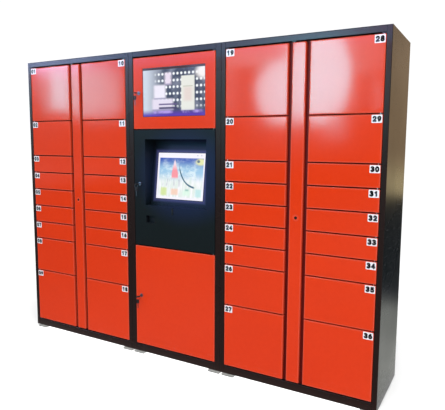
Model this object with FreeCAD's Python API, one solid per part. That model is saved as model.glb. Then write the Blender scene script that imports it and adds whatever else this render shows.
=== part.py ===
import FreeCAD, Part

import math
import os

# A bank of electronic storage lockers: three steel cabinets side by side.
# A locker bay stands at each end and the control bay stands between them.
# Millimetres. +X is to the right seen from the front, +Y to the back, +Z up.
# The origin is on the floor, under the middle of the overall box, keys included.

os.makedirs("parts", exist_ok=True)

V = FreeCAD.Vector

# ---------------------------------------------------------------- driving dimensions

# Overall
BODY_HEIGHT = 2000.0
FOOT_HEIGHT = 20.0
DEPTH = 500.0
KEY_REACH = 50.0          # how far the keys stand out of the front

# Locker bay, from its outer side to its middle
STILE = 28.0
COLUMN = 392.0
GROOVE = 24.0
COVER = 77.0
SIDE_BAY = 2 * (STILE + COLUMN + GROOVE) + COVER

# Control bay
CONTROL_BAY = 700.0
CONTROL_STILE = 37.0

# Sheet and frame sections
SHEET = 1.5               # carcass panels
DOOR_SHEET = 1.2
SHELF_SHEET = 1.0
FRAME_DEPTH = 30.0        # front stiles and rails
EDGE_BEND = 2.5           # outer bend of the front stiles
DOOR_BEND = 2.4           # outer bend of the door edges

# Compartment pitches, and the gap between one door and the next
LARGE = 390.0
MEDIUM = 252.0
SMALL = 125.4
SMALL_DOORS = 5
DOOR_GAP = 7.0
BOTTOM_GAP = 50.5         # middle of the lowest gap, above the cabinet's underside

# Doors
DOOR_DEPTH = 18.0
DOOR_LIP = 22.0           # return lip round the back of a door
SIDE_GAP = 3.0            # between a door's hinge edge and its stile

# Hinges: a pin through a tab in the gap, reaching into the doors above and below
HINGE_IN = 12.0           # from a door's hinge edge to the pin
COVER_HINGE_IN = 8.0
HINGE_BACK = 6.0          # from the front face to the pin
PIN_R = 2.5
PIN_PLAY = 0.05
PIN_REACH = 8.0
TAB_THICK = 2.0
TAB_BEYOND_PIN = 8.0
TAB_DEPTH = 21.0

# Lock channel between two columns
LANDING_BACK = 22.0       # front face of the landing plates, behind the front
LANDING_UNDER_DOOR = 24.0
LANDING_UNDER_COVER = 6.0
CHANNEL_WALL = 19.0       # channel wall, in from the door's free edge
CHANNEL_RETURN = 15.0
CROSSBAR = (12.0, 16.0)   # depth and height of the bar at the front of a shelf
CROSSBAR_BACK = 24.0

# Electronic lock and the striker on each door
STRIKER_IN = 10.5         # from the door's free edge
STRIKER_PLATE = (20.0, 2.0, 36.0)
STRIKER_BLADE = (2.5, 28.0, 22.0)
STRIKER_WINDOW = (9.0, 10.0)
LOCK_WIDTH = 36.0
LOCK_DEPTH = 72.0
LOCK_HEIGHT = 46.0
LOCK_MOUTH = (11.0, 33.0, 30.0)

# Cam locks
BARREL_R = 9.5
FLANGE_R = 12.0
FLANGE_THICK = 2.5
PLUG_R = 6.0
CAM_WIDTH = 14.0
CAM_THICK = 2.5
CAM_OVERLAP = 9.0         # how far a locked cam reaches behind the frame
COVER_CAM = 40.0
COVER_KEYHOLE_R = 6.2     # a channel cover's lock sits behind a plain round hole
COVER_PLUG_IN = 3.0
KEY_BOW = (5.0, 28.0, 20.0)   # thickness, length and width of a key's grip
KEY_HOLE_IN = 10.5        # from the end of the grip to the middle of its hole
KEY_BLADE = (1.4, 6.5, 34.0)
KEY_RING_R = 13.0
KEY_WIRE_R = 0.9

# Control bay doors, heights above the cabinet's underside
SERVICE_TOP_GAP = 738.5
CONTROL_TOP_GAP = 1504.5

# Advertising screen, x from the middle of the control bay
AD_WINDOW_X = (-234.0, 241.0)
AD_WINDOW_Z = (1583.0, 1889.0)
AD_BORDER = 10.0
AD_THICK = 40.0
AD_GLASS_BACK = 4.0

# Screen recess and touch screen
RECESS_X = (-221.0, 248.0)
RECESS_Z = (1012.0, 1442.0)
RECESS_LOW_DEPTH = 55.5
SCREEN_TILT = 7.0
SCREEN_X = (-185.0, 188.0)
SCREEN_RISE = (41.0, 349.0)   # up the tilted plate, from its lower edge
SCREEN_BORDER = 18.0
SCREEN_THICK = 38.0

# Coin entry, coin return and cash box
COIN_ENTRY_X = -5.0
COIN_ENTRY_Z = 983.0
COIN_BEZEL = (14.0, 2.0, 44.0)
COIN_SLOT = (3.4, 32.0)
ACCEPTOR = (44.0, 108.0, 122.0)
CUP_X = (-216.0, -148.0)
CUP_Z = (896.0, 944.0)
CUP_DEPTH = 32.0
CHUTE_Y = (6.0, 24.0)
CASH_BOX = (130.0, 140.0, 100.0)
CASH_SLOT = 34.0

# Locks on the control bay doors and channel covers: x from the bay's middle, z
MONITOR_LOCK = (-265.0, 1735.0)
CONTROL_LOCK = (-265.0, 1150.0)
SERVICE_LOCK = (-265.0, 394.0)
COVER_LOCK_Z = 1010.0

# Feet and openings in the carcass
FOOT_PLATE = (84.0, 60.0, 8.0)
FOOT_INSET = (50.0, 33.0) # from a bay's side and its front or back to the middle of a foot
FOOT_STUD_R = 8.0
WALL_ANCHOR_R = 4.5
WALL_ANCHOR_INSET = 100.0
WALL_ANCHOR_Z = 1900.0
FLOOR_ANCHOR_R = 6.5
FLOOR_ANCHOR_INSET = (110.0, 110.0)
CABLE_ENTRY_R = 16.0
CABLE_ENTRY = (180.0, 150.0)

# Electronics on the back panel of the control bay: width, thickness, height
COMPUTER = (260.0, 58.0, 220.0)
COMPUTER_Z = 1100.0
LOCK_BOARD = (300.0, 26.0, 112.0)
LOCK_BOARD_Z = (330.0, 470.0)
POWER_SUPPLY = (215.0, 50.0, 114.0)
POWER_SUPPLY_Z = 190.0
INLET = (50.0, 28.0, 36.0)
INLET_X = 90.0

# ---------------------------------------------------------------- derived places

FRONT = KEY_REACH - (DEPTH + KEY_REACH) / 2
BACK = FRONT + DEPTH
BASE = FOOT_HEIGHT
TOP = BASE + BODY_HEIGHT
LEFT_EDGE = -(CONTROL_BAY / 2 + SIDE_BAY)
RIGHT_EDGE = -LEFT_EDGE
HINGE_Y = FRONT + HINGE_BACK
LANDING_Y = FRONT + LANDING_BACK
HALF_GAP = DOOR_GAP / 2
FREE_EDGE = STILE + COLUMN
WALL_U = FREE_EDGE - CHANNEL_WALL

PITCHES = [LARGE, MEDIUM] + SMALL_DOORS * [SMALL] + [MEDIUM, LARGE]
GAPS = [BASE + BOTTOM_GAP + sum(PITCHES[:i]) for i in range(len(PITCHES) + 1)]
CONTROL_GAPS = [GAPS[0], BASE + SERVICE_TOP_GAP, BASE + CONTROL_TOP_GAP, GAPS[-1]]
RAIL_LOW = GAPS[0] - HALF_GAP
RAIL_HIGH = GAPS[-1] + HALF_GAP
FRAME_CAM_BACK = FRAME_DEPTH + 1.5
COVER_CAM_BACK = LANDING_BACK + SHEET + CHANNEL_RETURN + 1.5

# ---------------------------------------------------------------- geometry helpers


def box(x, y, z):
    """Box between the pairs of limits x, y and z, given in either order."""
    low = V(min(x), min(y), min(z))
    return Part.makeBox(max(x) - low.x, max(y) - low.y, max(z) - low.z, low)


def around(centre, size):
    """Pair of limits of the given size, centred."""
    return (centre - size / 2, centre + size / 2)


def rod_y(x, z, radius, y):
    """Cylinder along Y between the limits y."""
    return Part.makeCylinder(radius, max(y) - min(y), V(x, min(y), z), V(0, 1, 0))


def rod_z(x, y, radius, z):
    """Cylinder along Z between the limits z."""
    return Part.makeCylinder(radius, max(z) - min(z), V(x, y, min(z)))


def prism(points, direction):
    """Closed outline of points pushed along the vector direction."""
    return Part.Face(Part.makePolygon(points + points[:1])).extrude(direction)


def edges_at_front(shape, direction=None):
    """Edges in the foremost plane of a shape, all or those along one direction."""
    edges = [e for e in shape.Edges if e.BoundBox.YMax < shape.BoundBox.YMin + 0.001]
    if direction is None:
        return edges
    return [e for e in edges if abs(e.tangentAt(e.FirstParameter).dot(direction)) > 0.999]


def tube(x, y, z, along):
    """Rectangular steel tube, open along "x" or "z", with its front edges bent round."""
    direction = {"x": V(1, 0, 0), "z": V(0, 0, 1)}[along]
    outer = box(x, y, z)
    outer = outer.makeFillet(EDGE_BEND, edges_at_front(outer, direction))
    bore_x = (min(x) - 1, max(x) + 1) if along == "x" else (min(x) + SHEET, max(x) - SHEET)
    bore_z = (min(z) - 1, max(z) + 1) if along == "z" else (min(z) + SHEET, max(z) - SHEET)
    return outer.cut(box(bore_x, (min(y) + SHEET, max(y) - SHEET), bore_z))


def with_holes(shape, holes):
    """Shape with every one of the holes cut out of it."""
    return shape.cut(Part.makeCompound(holes)) if holes else shape


def save(name, solids):
    """Write one node from its separate solids."""
    shape = Part.makeCompound(solids) if len(solids) > 1 else solids[0]
    shape.exportStep("parts/" + name + ".step")


# ---------------------------------------------------------------- one side of a bay


class Side:
    """Measures from one outer side of a bay inwards, so that both hands share one drawing."""

    def __init__(self, edge, hand):
        self.edge = edge
        self.hand = hand

    def x(self, *inward):
        """x of one distance in from the edge, or the pair of limits for two."""
        places = tuple(self.edge + self.hand * u for u in inward)
        return places if len(places) > 1 else places[0]


LEFT_BAY = (LEFT_EDGE, LEFT_EDGE + SIDE_BAY)
CONTROL = (-CONTROL_BAY / 2, CONTROL_BAY / 2)
RIGHT_BAY = (RIGHT_EDGE - SIDE_BAY, RIGHT_EDGE)
CONTROL_SIDE = Side(CONTROL[1], -1)


def sides(bay):
    """The left and the right side of a bay."""
    return Side(bay[0], 1), Side(bay[1], -1)


COLUMNS = [side for bay in (LEFT_BAY, RIGHT_BAY) for side in sides(bay)]

# ---------------------------------------------------------------- hinges


def hinge_x(side, hinge_edge, inset):
    return side.x(hinge_edge + inset)


def hinge_tab(side, root, hinge_edge, inset, z):
    """Flat tab that carries one pin, from the frame at root to past the pin."""
    tab = box(side.x(root, hinge_edge + inset + TAB_BEYOND_PIN), (FRONT + 1, FRONT + TAB_DEPTH), z)
    return tab.cut(rod_z(hinge_x(side, hinge_edge, inset), HINGE_Y, PIN_R, (z[0] - 1, z[1] + 1)))


def gap_limits(gap, gaps, reach):
    """Limits of a piece in a gap: on to the rail at either end, or reach each way between doors."""
    low = gap - HALF_GAP if gap == gaps[0] else gap - reach
    high = gap + HALF_GAP if gap == gaps[-1] else gap + reach
    return (low, high)


def hinge_tabs(side, stile, gaps):
    """One tab in every gap of a column of doors."""
    return [hinge_tab(side, stile, stile + SIDE_GAP, HINGE_IN, gap_limits(gap, gaps, TAB_THICK / 2))
            for gap in gaps]


def column_pins(side, stile, gaps):
    """One pin in every gap of a column of doors."""
    x = hinge_x(side, stile + SIDE_GAP, HINGE_IN)
    return [rod_z(x, HINGE_Y, PIN_R, gap_limits(gap, gaps, HALF_GAP + PIN_REACH)) for gap in gaps]


def cover_hinges(side):
    """Tabs and pins of a channel cover, at its foot and its head."""
    edge = FREE_EDGE + GROOVE
    ends = (GAPS[0], GAPS[-1])
    tabs = [hinge_tab(side, edge - SIDE_GAP, edge, COVER_HINGE_IN, gap_limits(gap, ends, TAB_THICK / 2))
            for gap in ends]
    x = hinge_x(side, edge, COVER_HINGE_IN)
    pins = [rod_z(x, HINGE_Y, PIN_R, gap_limits(gap, ends, HALF_GAP + PIN_REACH)) for gap in ends]
    return tabs, pins


# ---------------------------------------------------------------- doors


def folded_pan(x, z, pin_x, holes=()):
    """Door folded from one sheet: face, edges and a return lip, on pins at top and bottom."""
    x = (min(x), max(x))
    outer = box(x, (FRONT, FRONT + DOOR_DEPTH), z)
    outer = outer.makeFillet(DOOR_BEND, edges_at_front(outer))
    inside = box((x[0] + DOOR_SHEET, x[1] - DOOR_SHEET),
                 (FRONT + DOOR_SHEET, FRONT + DOOR_DEPTH - DOOR_SHEET),
                 (z[0] + DOOR_SHEET, z[1] - DOOR_SHEET))
    inside = inside.makeFillet(DOOR_BEND - DOOR_SHEET, edges_at_front(inside))
    lip = min(DOOR_LIP, (x[1] - x[0]) / 4)
    back_y = (FRONT + DOOR_SHEET, FRONT + DOOR_DEPTH + 1)
    back = box((x[0] + lip, x[1] - lip), back_y, (z[0] + lip, z[1] - lip))
    pins = rod_z(pin_x, HINGE_Y, PIN_R + PIN_PLAY, (z[0] - 1, z[1] + 1))
    return with_holes(outer, [inside, back, pins] + list(holes))


def door_limits(gap, next_gap):
    return (gap + HALF_GAP, next_gap - HALF_GAP)


def striker(side, z):
    """Plate and blade on the back of a door's free edge, with a window for the latch."""
    width, thick, height = STRIKER_PLATE
    blade, reach, blade_height = STRIKER_BLADE
    u = FREE_EDGE - STRIKER_IN
    back = FRONT + DOOR_DEPTH
    plate = box(side.x(*around(u, width)), (back, back + thick), around(z, height))
    x = side.x(*around(u, blade))
    tongue = box(x, (back + thick, back + thick + reach), around(z, blade_height))
    window_y, window_z = STRIKER_WINDOW
    window = box(x, around(back + thick + reach - window_y, window_y), around(z, window_z))
    return plate.fuse(tongue.cut(window))


def locker_door(side, gap, next_gap):
    """One locker door and its striker."""
    z = door_limits(gap, next_gap)
    hinge_edge = STILE + SIDE_GAP
    pan = folded_pan(side.x(hinge_edge, FREE_EDGE), z, hinge_x(side, hinge_edge, HINGE_IN))
    return [pan, striker(side, sum(z) / 2)]


# ---------------------------------------------------------------- cam locks


def hex_nut(x, z, y, bore, across):
    """Hexagonal nut on a lock barrel."""
    corner = across / math.sqrt(3)
    points = [V(x + corner * math.cos(math.radians(60 * i)), min(y),
                z + corner * math.sin(math.radians(60 * i))) for i in range(6)]
    return prism(points, V(0, max(y) - min(y), 0)).cut(rod_y(x, z, bore, y))


def barrel_and_nut(x, z, start, cam_back):
    """Barrel of a cam lock from start to just short of its cam, and the nut behind the sheet."""
    barrel = rod_y(x, z, BARREL_R, (start, FRONT + cam_back - 0.5))
    bore = rod_y(x, z, PLUG_R + PIN_PLAY, (start, FRONT + cam_back))
    nut = hex_nut(x, z, (FRONT + DOOR_SHEET, FRONT + DOOR_SHEET + 5), BARREL_R, 26)
    return [barrel.cut(bore), nut]


def flanged_barrel(x, z, cam_back):
    """Fixed part of a lock that goes through the sheet, with a flange on the face."""
    barrel, nut = barrel_and_nut(x, z, FRONT, cam_back)
    flange_y = (FRONT - FLANGE_THICK, FRONT)
    flange = rod_y(x, z, FLANGE_R, flange_y).cut(rod_y(x, z, PLUG_R + PIN_PLAY, flange_y))
    return [flange.fuse(barrel), nut]


def hole_in_face(x, z, radius):
    """Round cutter through the face of a door."""
    return rod_y(x, z, radius, (FRONT - 1, FRONT + DOOR_SHEET))


def lock_plug(x, z, face, cam_back, cam_length):
    """Turning part of a cam lock: plug, and a cam that hangs down when it is unlocked."""
    plug = rod_y(x, z, PLUG_R, (face, FRONT + cam_back))
    keyway = box(around(x, KEY_BLADE[0] + 0.2), (face, FRONT + cam_back - 6), around(z, KEY_BLADE[1] + 0.5))
    cam_y = (FRONT + cam_back, FRONT + cam_back + CAM_THICK)
    cam = box(around(x, CAM_WIDTH), cam_y, (z, z - cam_length)).fuse(rod_y(x, z, CAM_WIDTH / 2, cam_y))
    screw = rod_y(x, z, 4.5, (FRONT + cam_back + CAM_THICK, FRONT + cam_back + CAM_THICK + 3))
    return [plug.cut(keyway), cam.fuse(screw)]


def key():
    """Key lying along +Y, with the middle of its ring hole at the origin and its flat sides in X."""
    thick, length, width = KEY_BOW
    blade_thick, blade_width, blade_length = KEY_BLADE
    grip = box(around(0, thick), (-KEY_HOLE_IN, length - KEY_HOLE_IN), around(0, width))
    grip = grip.makeFillet(width * 0.4, [e for e in grip.Edges if e.BoundBox.XLength > thick - 0.001])
    grip = grip.cut(Part.makeCylinder(2.5, thick, V(-thick / 2, 0, 0), V(1, 0, 0)))
    end = length - KEY_HOLE_IN
    return grip.fuse(box(around(0, blade_thick), (end, end + blade_length), around(0, blade_width)))


def keys(x, z):
    """Key in its lock, a ring through its grip, and a second key hanging from the ring."""
    y = FRONT - KEY_REACH + KEY_HOLE_IN
    seated = key()
    seated.translate(V(x, y, z))
    slack = 1.0               # the wire lies this far off the middle of each hole
    ring = Part.makeTorus(KEY_RING_R, KEY_WIRE_R, V(x, y, z - slack - KEY_RING_R), V(0, 1, 0))
    hanging = key()
    hanging.rotate(V(0, 0, 0), V(1, 0, 0), -90)
    hanging.translate(V(x, y, z - 2 * (slack + KEY_RING_R)))
    return [seated, ring, hanging]


# ---------------------------------------------------------------- carcasses


def front_frame(bay, stile):
    """Two stiles and two rails round the front of a bay."""
    y = (FRONT, FRONT + FRAME_DEPTH)
    between = (bay[0] + stile, bay[1] - stile)
    stiles = [tube((bay[0], bay[0] + stile), y, (BASE + SHEET, TOP - SHEET), "z"),
              tube((bay[1] - stile, bay[1]), y, (BASE + SHEET, TOP - SHEET), "z")]
    rails = [tube(between, y, (BASE + SHEET, RAIL_LOW), "x"),
             tube(between, y, (RAIL_HIGH, TOP - SHEET), "x")]
    return stiles + rails


def side_panels(bay):
    """Flat panel down each side of a bay, behind its stile."""
    y = (FRONT + FRAME_DEPTH, BACK - SHEET)
    return [box(side.x(0, SHEET), y, (BASE + SHEET, TOP - SHEET)) for side in sides(bay)]


def wall_anchor_holes(bay):
    return [rod_y(side.x(WALL_ANCHOR_INSET), BASE + WALL_ANCHOR_Z, WALL_ANCHOR_R, (BACK - SHEET, BACK))
            for side in sides(bay)]


def floor_anchor_holes(bay):
    inset_x, inset_y = FLOOR_ANCHOR_INSET
    return [rod_z(side.x(inset_x), y, FLOOR_ANCHOR_R, (BASE, BASE + SHEET))
            for side in sides(bay) for y in (FRONT + inset_y, BACK - inset_y)]


def shell(bay, back_holes=()):
    """Side panels, back, top and floor of a bay."""
    back = box(bay, (BACK - SHEET, BACK), (BASE + SHEET, TOP - SHEET))
    top = box(bay, (FRONT, BACK), (TOP - SHEET, TOP))
    floor = box(bay, (FRONT, BACK), (BASE, BASE + SHEET))
    return side_panels(bay) + [with_holes(back, wall_anchor_holes(bay) + list(back_holes)), top,
                               with_holes(floor, floor_anchor_holes(bay))]


def locker_carcass(bay):
    """Carcass of a locker bay, with the tabs that its doors and its cover hang on."""
    tabs = [tab for side in sides(bay) for tab in hinge_tabs(side, STILE, GAPS)]
    cover_tabs, _ = cover_hinges(sides(bay)[0])
    return shell(bay) + front_frame(bay, STILE) + tabs + cover_tabs


def shelf(bar_x, plate_x, gap):
    """Crossbar behind the gap between two doors, and the plate that runs back from it."""
    bar_y = (FRONT + CROSSBAR_BACK, FRONT + CROSSBAR_BACK + CROSSBAR[0])
    plate_top = gap + CROSSBAR[1] / 2
    return [box(bar_x, bar_y, around(gap, CROSSBAR[1])),
            box(plate_x, (bar_y[1], BACK - SHEET), (plate_top - SHELF_SHEET, plate_top))]


def control_dividers():
    """The two shelves that part the control bay into three."""
    bar_x = (CONTROL[0] + CONTROL_STILE, CONTROL[1] - CONTROL_STILE)
    plate_x = (CONTROL[0] + SHEET, CONTROL[1] - SHEET)
    return [solid for gap in CONTROL_GAPS[1:-1] for solid in shelf(bar_x, plate_x, gap)]


def inlet_opening():
    width, _, height = INLET
    return box(around(INLET_X, width - 6), (BACK - SHEET, BACK), around(BASE + CABLE_ENTRY[1], height - 6))


def control_carcass():
    """Carcass of the control bay, with its dividers and the tabs its doors hang on."""
    cable_entry = rod_y(CABLE_ENTRY[0], BASE + CABLE_ENTRY[1], CABLE_ENTRY_R, (BACK - SHEET, BACK))
    tabs = hinge_tabs(CONTROL_SIDE, CONTROL_STILE, CONTROL_GAPS)
    return (shell(CONTROL, [cable_entry, inlet_opening()]) + front_frame(CONTROL, CONTROL_STILE)
            + control_dividers() + tabs)


# ---------------------------------------------------------------- lock channels and shelves


def door_middles():
    """Mid-height of every door in a column, from the top down."""
    return [(low + high) / 2 for low, high in zip(GAPS, GAPS[1:])][::-1]


def lock_channel(side):
    """Half of a lock channel: landing plate with a slot for each striker, wall and return."""
    z = (RAIL_LOW, RAIL_HIGH)
    inner = FREE_EDGE + GROOVE + LANDING_UNDER_COVER
    landing = box(side.x(FREE_EDGE - LANDING_UNDER_DOOR, inner), (LANDING_Y, LANDING_Y + SHEET), z)
    mouth, _, height = LOCK_MOUTH
    slots = [box(side.x(*around(FREE_EDGE - STRIKER_IN, mouth)), (LANDING_Y, LANDING_Y + SHEET),
                 around(middle, height)) for middle in door_middles()]
    wall = box(side.x(WALL_U, WALL_U + SHEET), (LANDING_Y + SHEET, BACK - SHEET), z)
    turned_in = box(side.x(inner - SHEET, inner), (LANDING_Y + SHEET, LANDING_Y + SHEET + CHANNEL_RETURN), z)
    return [with_holes(landing, slots), wall, turned_in]


def column_shelves(side):
    """Floor and ceiling of a column, and a shelf between each two compartments."""
    plate_x = side.x(SHEET, WALL_U)
    y = (FRONT + FRAME_DEPTH, BACK - SHEET)
    solids = [box(plate_x, y, (RAIL_LOW - SHELF_SHEET, RAIL_LOW)),
              box(plate_x, y, (RAIL_HIGH, RAIL_HIGH + SHELF_SHEET))]
    for gap in GAPS[1:-1]:
        solids += shelf(side.x(STILE, WALL_U), plate_x, gap)
    return solids


def electronic_lock(side, middle):
    """Lock case in the channel, with its mouth behind a slot and its latch drawn back."""
    low = WALL_U + SHEET
    front = LANDING_Y + SHEET
    case = box(side.x(low, low + LOCK_WIDTH), (front, front + LOCK_DEPTH), around(middle, LOCK_HEIGHT))
    width, depth, height = LOCK_MOUTH
    u = FREE_EDGE - STRIKER_IN
    mouth = box(side.x(*around(u, width)), (front, front + depth), around(middle, height))
    nose = box(side.x(u + width / 2 - 1, u + width / 2 + 1), around(front + depth / 2, 8), around(middle, 8))
    return case.cut(mouth).fuse(nose)


# ---------------------------------------------------------------- control bay doors


def wide_door(index, holes=()):
    """Pan of one of the three control bay doors, counted from the lowest."""
    z = door_limits(CONTROL_GAPS[index], CONTROL_GAPS[index + 1])
    hinge_edge = CONTROL_STILE + SIDE_GAP
    x = CONTROL_SIDE.x(hinge_edge, CONTROL_BAY - hinge_edge)
    return folded_pan(x, z, hinge_x(CONTROL_SIDE, hinge_edge, HINGE_IN), holes)


def through_face(x, z):
    """Cutter through the face of a door."""
    return box(x, (FRONT - 1, FRONT + DOOR_SHEET), (BASE + z[0], BASE + z[1]))


def on_tilted_plate(x, rise, back):
    """Box on the tilted plate of the recess: up the plate, and behind its front face."""
    shape = box(x, back, rise)
    shape.rotate(V(0, 0, 0), V(1, 0, 0), -SCREEN_TILT)
    shape.translate(V(0, FRONT + RECESS_LOW_DEPTH, BASE + RECESS_Z[0]))
    return shape


def recess_profile(grow, front):
    """Side view of the recess: square at the front, leaning back behind the screen."""
    low = BASE + RECESS_Z[0] - grow
    high = BASE + RECESS_Z[1] + grow
    slope = math.tan(math.radians(SCREEN_TILT))
    depth_low = FRONT + RECESS_LOW_DEPTH + grow
    depth_high = depth_low + (high - low) * slope
    return [V(0, front, low), V(0, depth_low, low), V(0, depth_high, high), V(0, front, high)]


def screen_recess():
    """Sheet-metal tub behind the control panel, with a window for the touch screen."""
    front = FRONT + DOOR_SHEET
    width = RECESS_X[1] - RECESS_X[0]
    outer = prism(recess_profile(SHEET, front), V(width + 2 * SHEET, 0, 0))
    outer.translate(V(RECESS_X[0] - SHEET, 0, 0))
    inner = prism(recess_profile(0, front - 1), V(width, 0, 0))
    inner.translate(V(RECESS_X[0], 0, 0))
    window = on_tilted_plate(SCREEN_X, SCREEN_RISE, (-5, 5))
    return outer.cut(inner).cut(window)


def touch_screen():
    """Touch monitor behind the window of the recess, its glass let into the window."""
    grown_x = (SCREEN_X[0] - SCREEN_BORDER, SCREEN_X[1] + SCREEN_BORDER)
    grown_rise = (SCREEN_RISE[0] - SCREEN_BORDER, SCREEN_RISE[1] + SCREEN_BORDER)
    case = on_tilted_plate(grown_x, grown_rise, (SHEET + 0.3, SHEET + SCREEN_THICK))
    glass_x = (SCREEN_X[0] + 0.5, SCREEN_X[1] - 0.5)
    glass_rise = (SCREEN_RISE[0] + 0.5, SCREEN_RISE[1] - 0.5)
    glass = on_tilted_plate(glass_x, glass_rise, (0.4, SHEET + 0.3))
    return [case, glass]


def ad_monitor():
    """Advertising monitor behind the window of the upper door."""
    x = (AD_WINDOW_X[0] - AD_BORDER, AD_WINDOW_X[1] + AD_BORDER)
    z = (BASE + AD_WINDOW_Z[0] - AD_BORDER, BASE + AD_WINDOW_Z[1] + AD_BORDER)
    front = FRONT + DOOR_SHEET
    case = box(x, (front, front + AD_THICK), z)
    window_z = (BASE + AD_WINDOW_Z[0], BASE + AD_WINDOW_Z[1])
    return case.cut(box(AD_WINDOW_X, (front, FRONT + AD_GLASS_BACK), window_z))


def coin_neck():
    """Part of the coin entry that goes through the sheet of the control panel."""
    x = around(COIN_ENTRY_X, COIN_BEZEL[0] - 4)
    return box(x, (FRONT, FRONT + DOOR_SHEET), around(BASE + COIN_ENTRY_Z, COIN_BEZEL[2] - 4))


def coin_parts():
    """Coin entry bezel, the acceptor behind it, the return chute and the return cup."""
    slot_width, slot_height = COIN_SLOT
    x = COIN_ENTRY_X
    z = BASE + COIN_ENTRY_Z
    slot = box(around(x, slot_width), (FRONT - COIN_BEZEL[1], FRONT + 60), around(z, slot_height))
    bezel = box(around(x, COIN_BEZEL[0]), (FRONT - COIN_BEZEL[1], FRONT), around(z, COIN_BEZEL[2]))
    top = z + COIN_BEZEL[2] / 2 - 1
    face = FRONT + DOOR_SHEET
    bottom = top - ACCEPTOR[2]
    case = box(around(x, ACCEPTOR[0]), (face, face + ACCEPTOR[1]), (top, bottom))
    outlet = box(around(x, CASH_SLOT - 4), around(face + ACCEPTOR[1] * 0.6, 34), (bottom, bottom + 15))

    cup_z = (BASE + CUP_Z[0], BASE + CUP_Z[1])
    cup = box((CUP_X[0] - 1.5, CUP_X[1] + 1.5), (face, FRONT + CUP_DEPTH), (cup_z[0] - 1.5, cup_z[1] + 1.5))
    cup = cup.cut(box(CUP_X, (face, FRONT + CUP_DEPTH - 1.5), cup_z))

    start = x - ACCEPTOR[0] / 2
    end = CUP_X[1] + 1.5
    drop = [V(start, FRONT + CHUTE_Y[0], z), V(start, FRONT + CHUTE_Y[0], z - 20),
            V(end, FRONT + CHUTE_Y[0], cup_z[0] + 4), V(end, FRONT + CHUTE_Y[0], cup_z[0] + 24)]
    chute = prism(drop, V(0, CHUTE_Y[1] - CHUTE_Y[0], 0))
    return [with_holes(bezel.fuse(coin_neck()).fuse(case), [slot, outlet]), chute, cup]


def coin_openings():
    """Cutters for the coin entry and the return cup in the control panel."""
    return [coin_neck(), through_face(CUP_X, CUP_Z)]


def cash_box():
    """Steel box on the lower divider, with a slot in its lid under the coin acceptor."""
    width, depth, height = CASH_BOX
    floor = CONTROL_GAPS[1] + CROSSBAR[1] / 2
    x = around(COIN_ENTRY_X, width)
    y = (FRONT + 45, FRONT + 45 + depth)
    z = (floor, floor + height)
    bottom = box(x, y, (z[0], z[0] + SHEET))
    ends = [box((x[i], x[i] + s * SHEET), y, (z[0] + SHEET, z[1] - SHEET)) for i, s in ((0, 1), (1, -1))]
    faces = [box((x[0] + SHEET, x[1] - SHEET), (y[i], y[i] + s * SHEET), (z[0] + SHEET, z[1] - SHEET))
             for i, s in ((0, 1), (1, -1))]
    slot = around(COIN_ENTRY_X, CASH_SLOT)
    lid = [box(lid_x, y, (z[1] - SHEET, z[1])) for lid_x in ((x[0], slot[0]), (slot[1], x[1]))]
    return [bottom] + ends + faces + lid


# ---------------------------------------------------------------- inside the control bay


def on_back_panel(x_middle, size, z_low):
    """Box of a given width, thickness and height on the back panel."""
    width, thick, height = size
    return box(around(x_middle, width), (BACK - SHEET - thick, BACK - SHEET), (z_low, z_low + height))


def control_electronics():
    """Control computer, and the two boards that drive the locks."""
    computer = on_back_panel(0, COMPUTER, BASE + COMPUTER_Z)
    boards = [on_back_panel(-80, LOCK_BOARD, BASE + z) for z in LOCK_BOARD_Z]
    return [computer] + boards


def power_supply():
    """Power supply, and the mains inlet in the back panel."""
    supply = on_back_panel(-120, POWER_SUPPLY, BASE + POWER_SUPPLY_Z)
    width, depth, height = INLET
    z = BASE + CABLE_ENTRY[1]
    flange = box(around(INLET_X, width), (BACK - SHEET - 2, BACK - SHEET), around(z, height))
    body = box(around(INLET_X, width - 6), (BACK - SHEET - depth, BACK), around(z, height - 6))
    socket = box(around(INLET_X, 24), (BACK - 16, BACK), around(z, 17))
    return [supply, flange.fuse(body).cut(socket)]


# ---------------------------------------------------------------- feet


def foot(x, y):
    """Levelling foot: flat plate, threaded stud and lock nut."""
    width, depth, thick = FOOT_PLATE
    plate = box(around(x, width), around(y, depth), (0, thick))
    plate = plate.makeFillet(6, [e for e in plate.Edges if e.BoundBox.ZLength > thick - 0.001])
    stud = rod_z(x, y, FOOT_STUD_R, (thick, FOOT_HEIGHT))
    nut = Part.makeCylinder(13, 5, V(x, y, FOOT_HEIGHT - 5))
    return plate.fuse(stud).fuse(nut)


def feet():
    inset_x, inset_y = FOOT_INSET
    return [foot(side.x(inset_x), y) for bay in (LEFT_BAY, CONTROL, RIGHT_BAY) for side in sides(bay)
            for y in (FRONT + inset_y, BACK - inset_y)]


# ---------------------------------------------------------------- channel covers


def cover(bay):
    """Narrow cover over the lock channel of a bay, with the barrel of its lock behind it."""
    side = sides(bay)[0]
    edge = FREE_EDGE + GROOVE
    z = door_limits(GAPS[0], GAPS[-1])
    x = sum(bay) / 2
    lock_z = BASE + COVER_LOCK_Z
    keyhole = hole_in_face(x, lock_z, COVER_KEYHOLE_R)
    pan = folded_pan(side.x(edge, edge + COVER), z, hinge_x(side, edge, COVER_HINGE_IN), [keyhole])
    return [pan] + barrel_and_nut(x, lock_z, FRONT + DOOR_SHEET, COVER_CAM_BACK)


# ---------------------------------------------------------------- the nodes

for name, bay in (("left_bay_carcass", LEFT_BAY), ("right_bay_carcass", RIGHT_BAY)):
    save(name, locker_carcass(bay))
save("control_bay_carcass", control_carcass())

save("lock_channels", [solid for side in COLUMNS for solid in lock_channel(side)])
save("compartment_shelves", [solid for side in COLUMNS for solid in column_shelves(side)])
save("electronic_locks", [electronic_lock(side, middle) for side in COLUMNS for middle in door_middles()])

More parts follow.
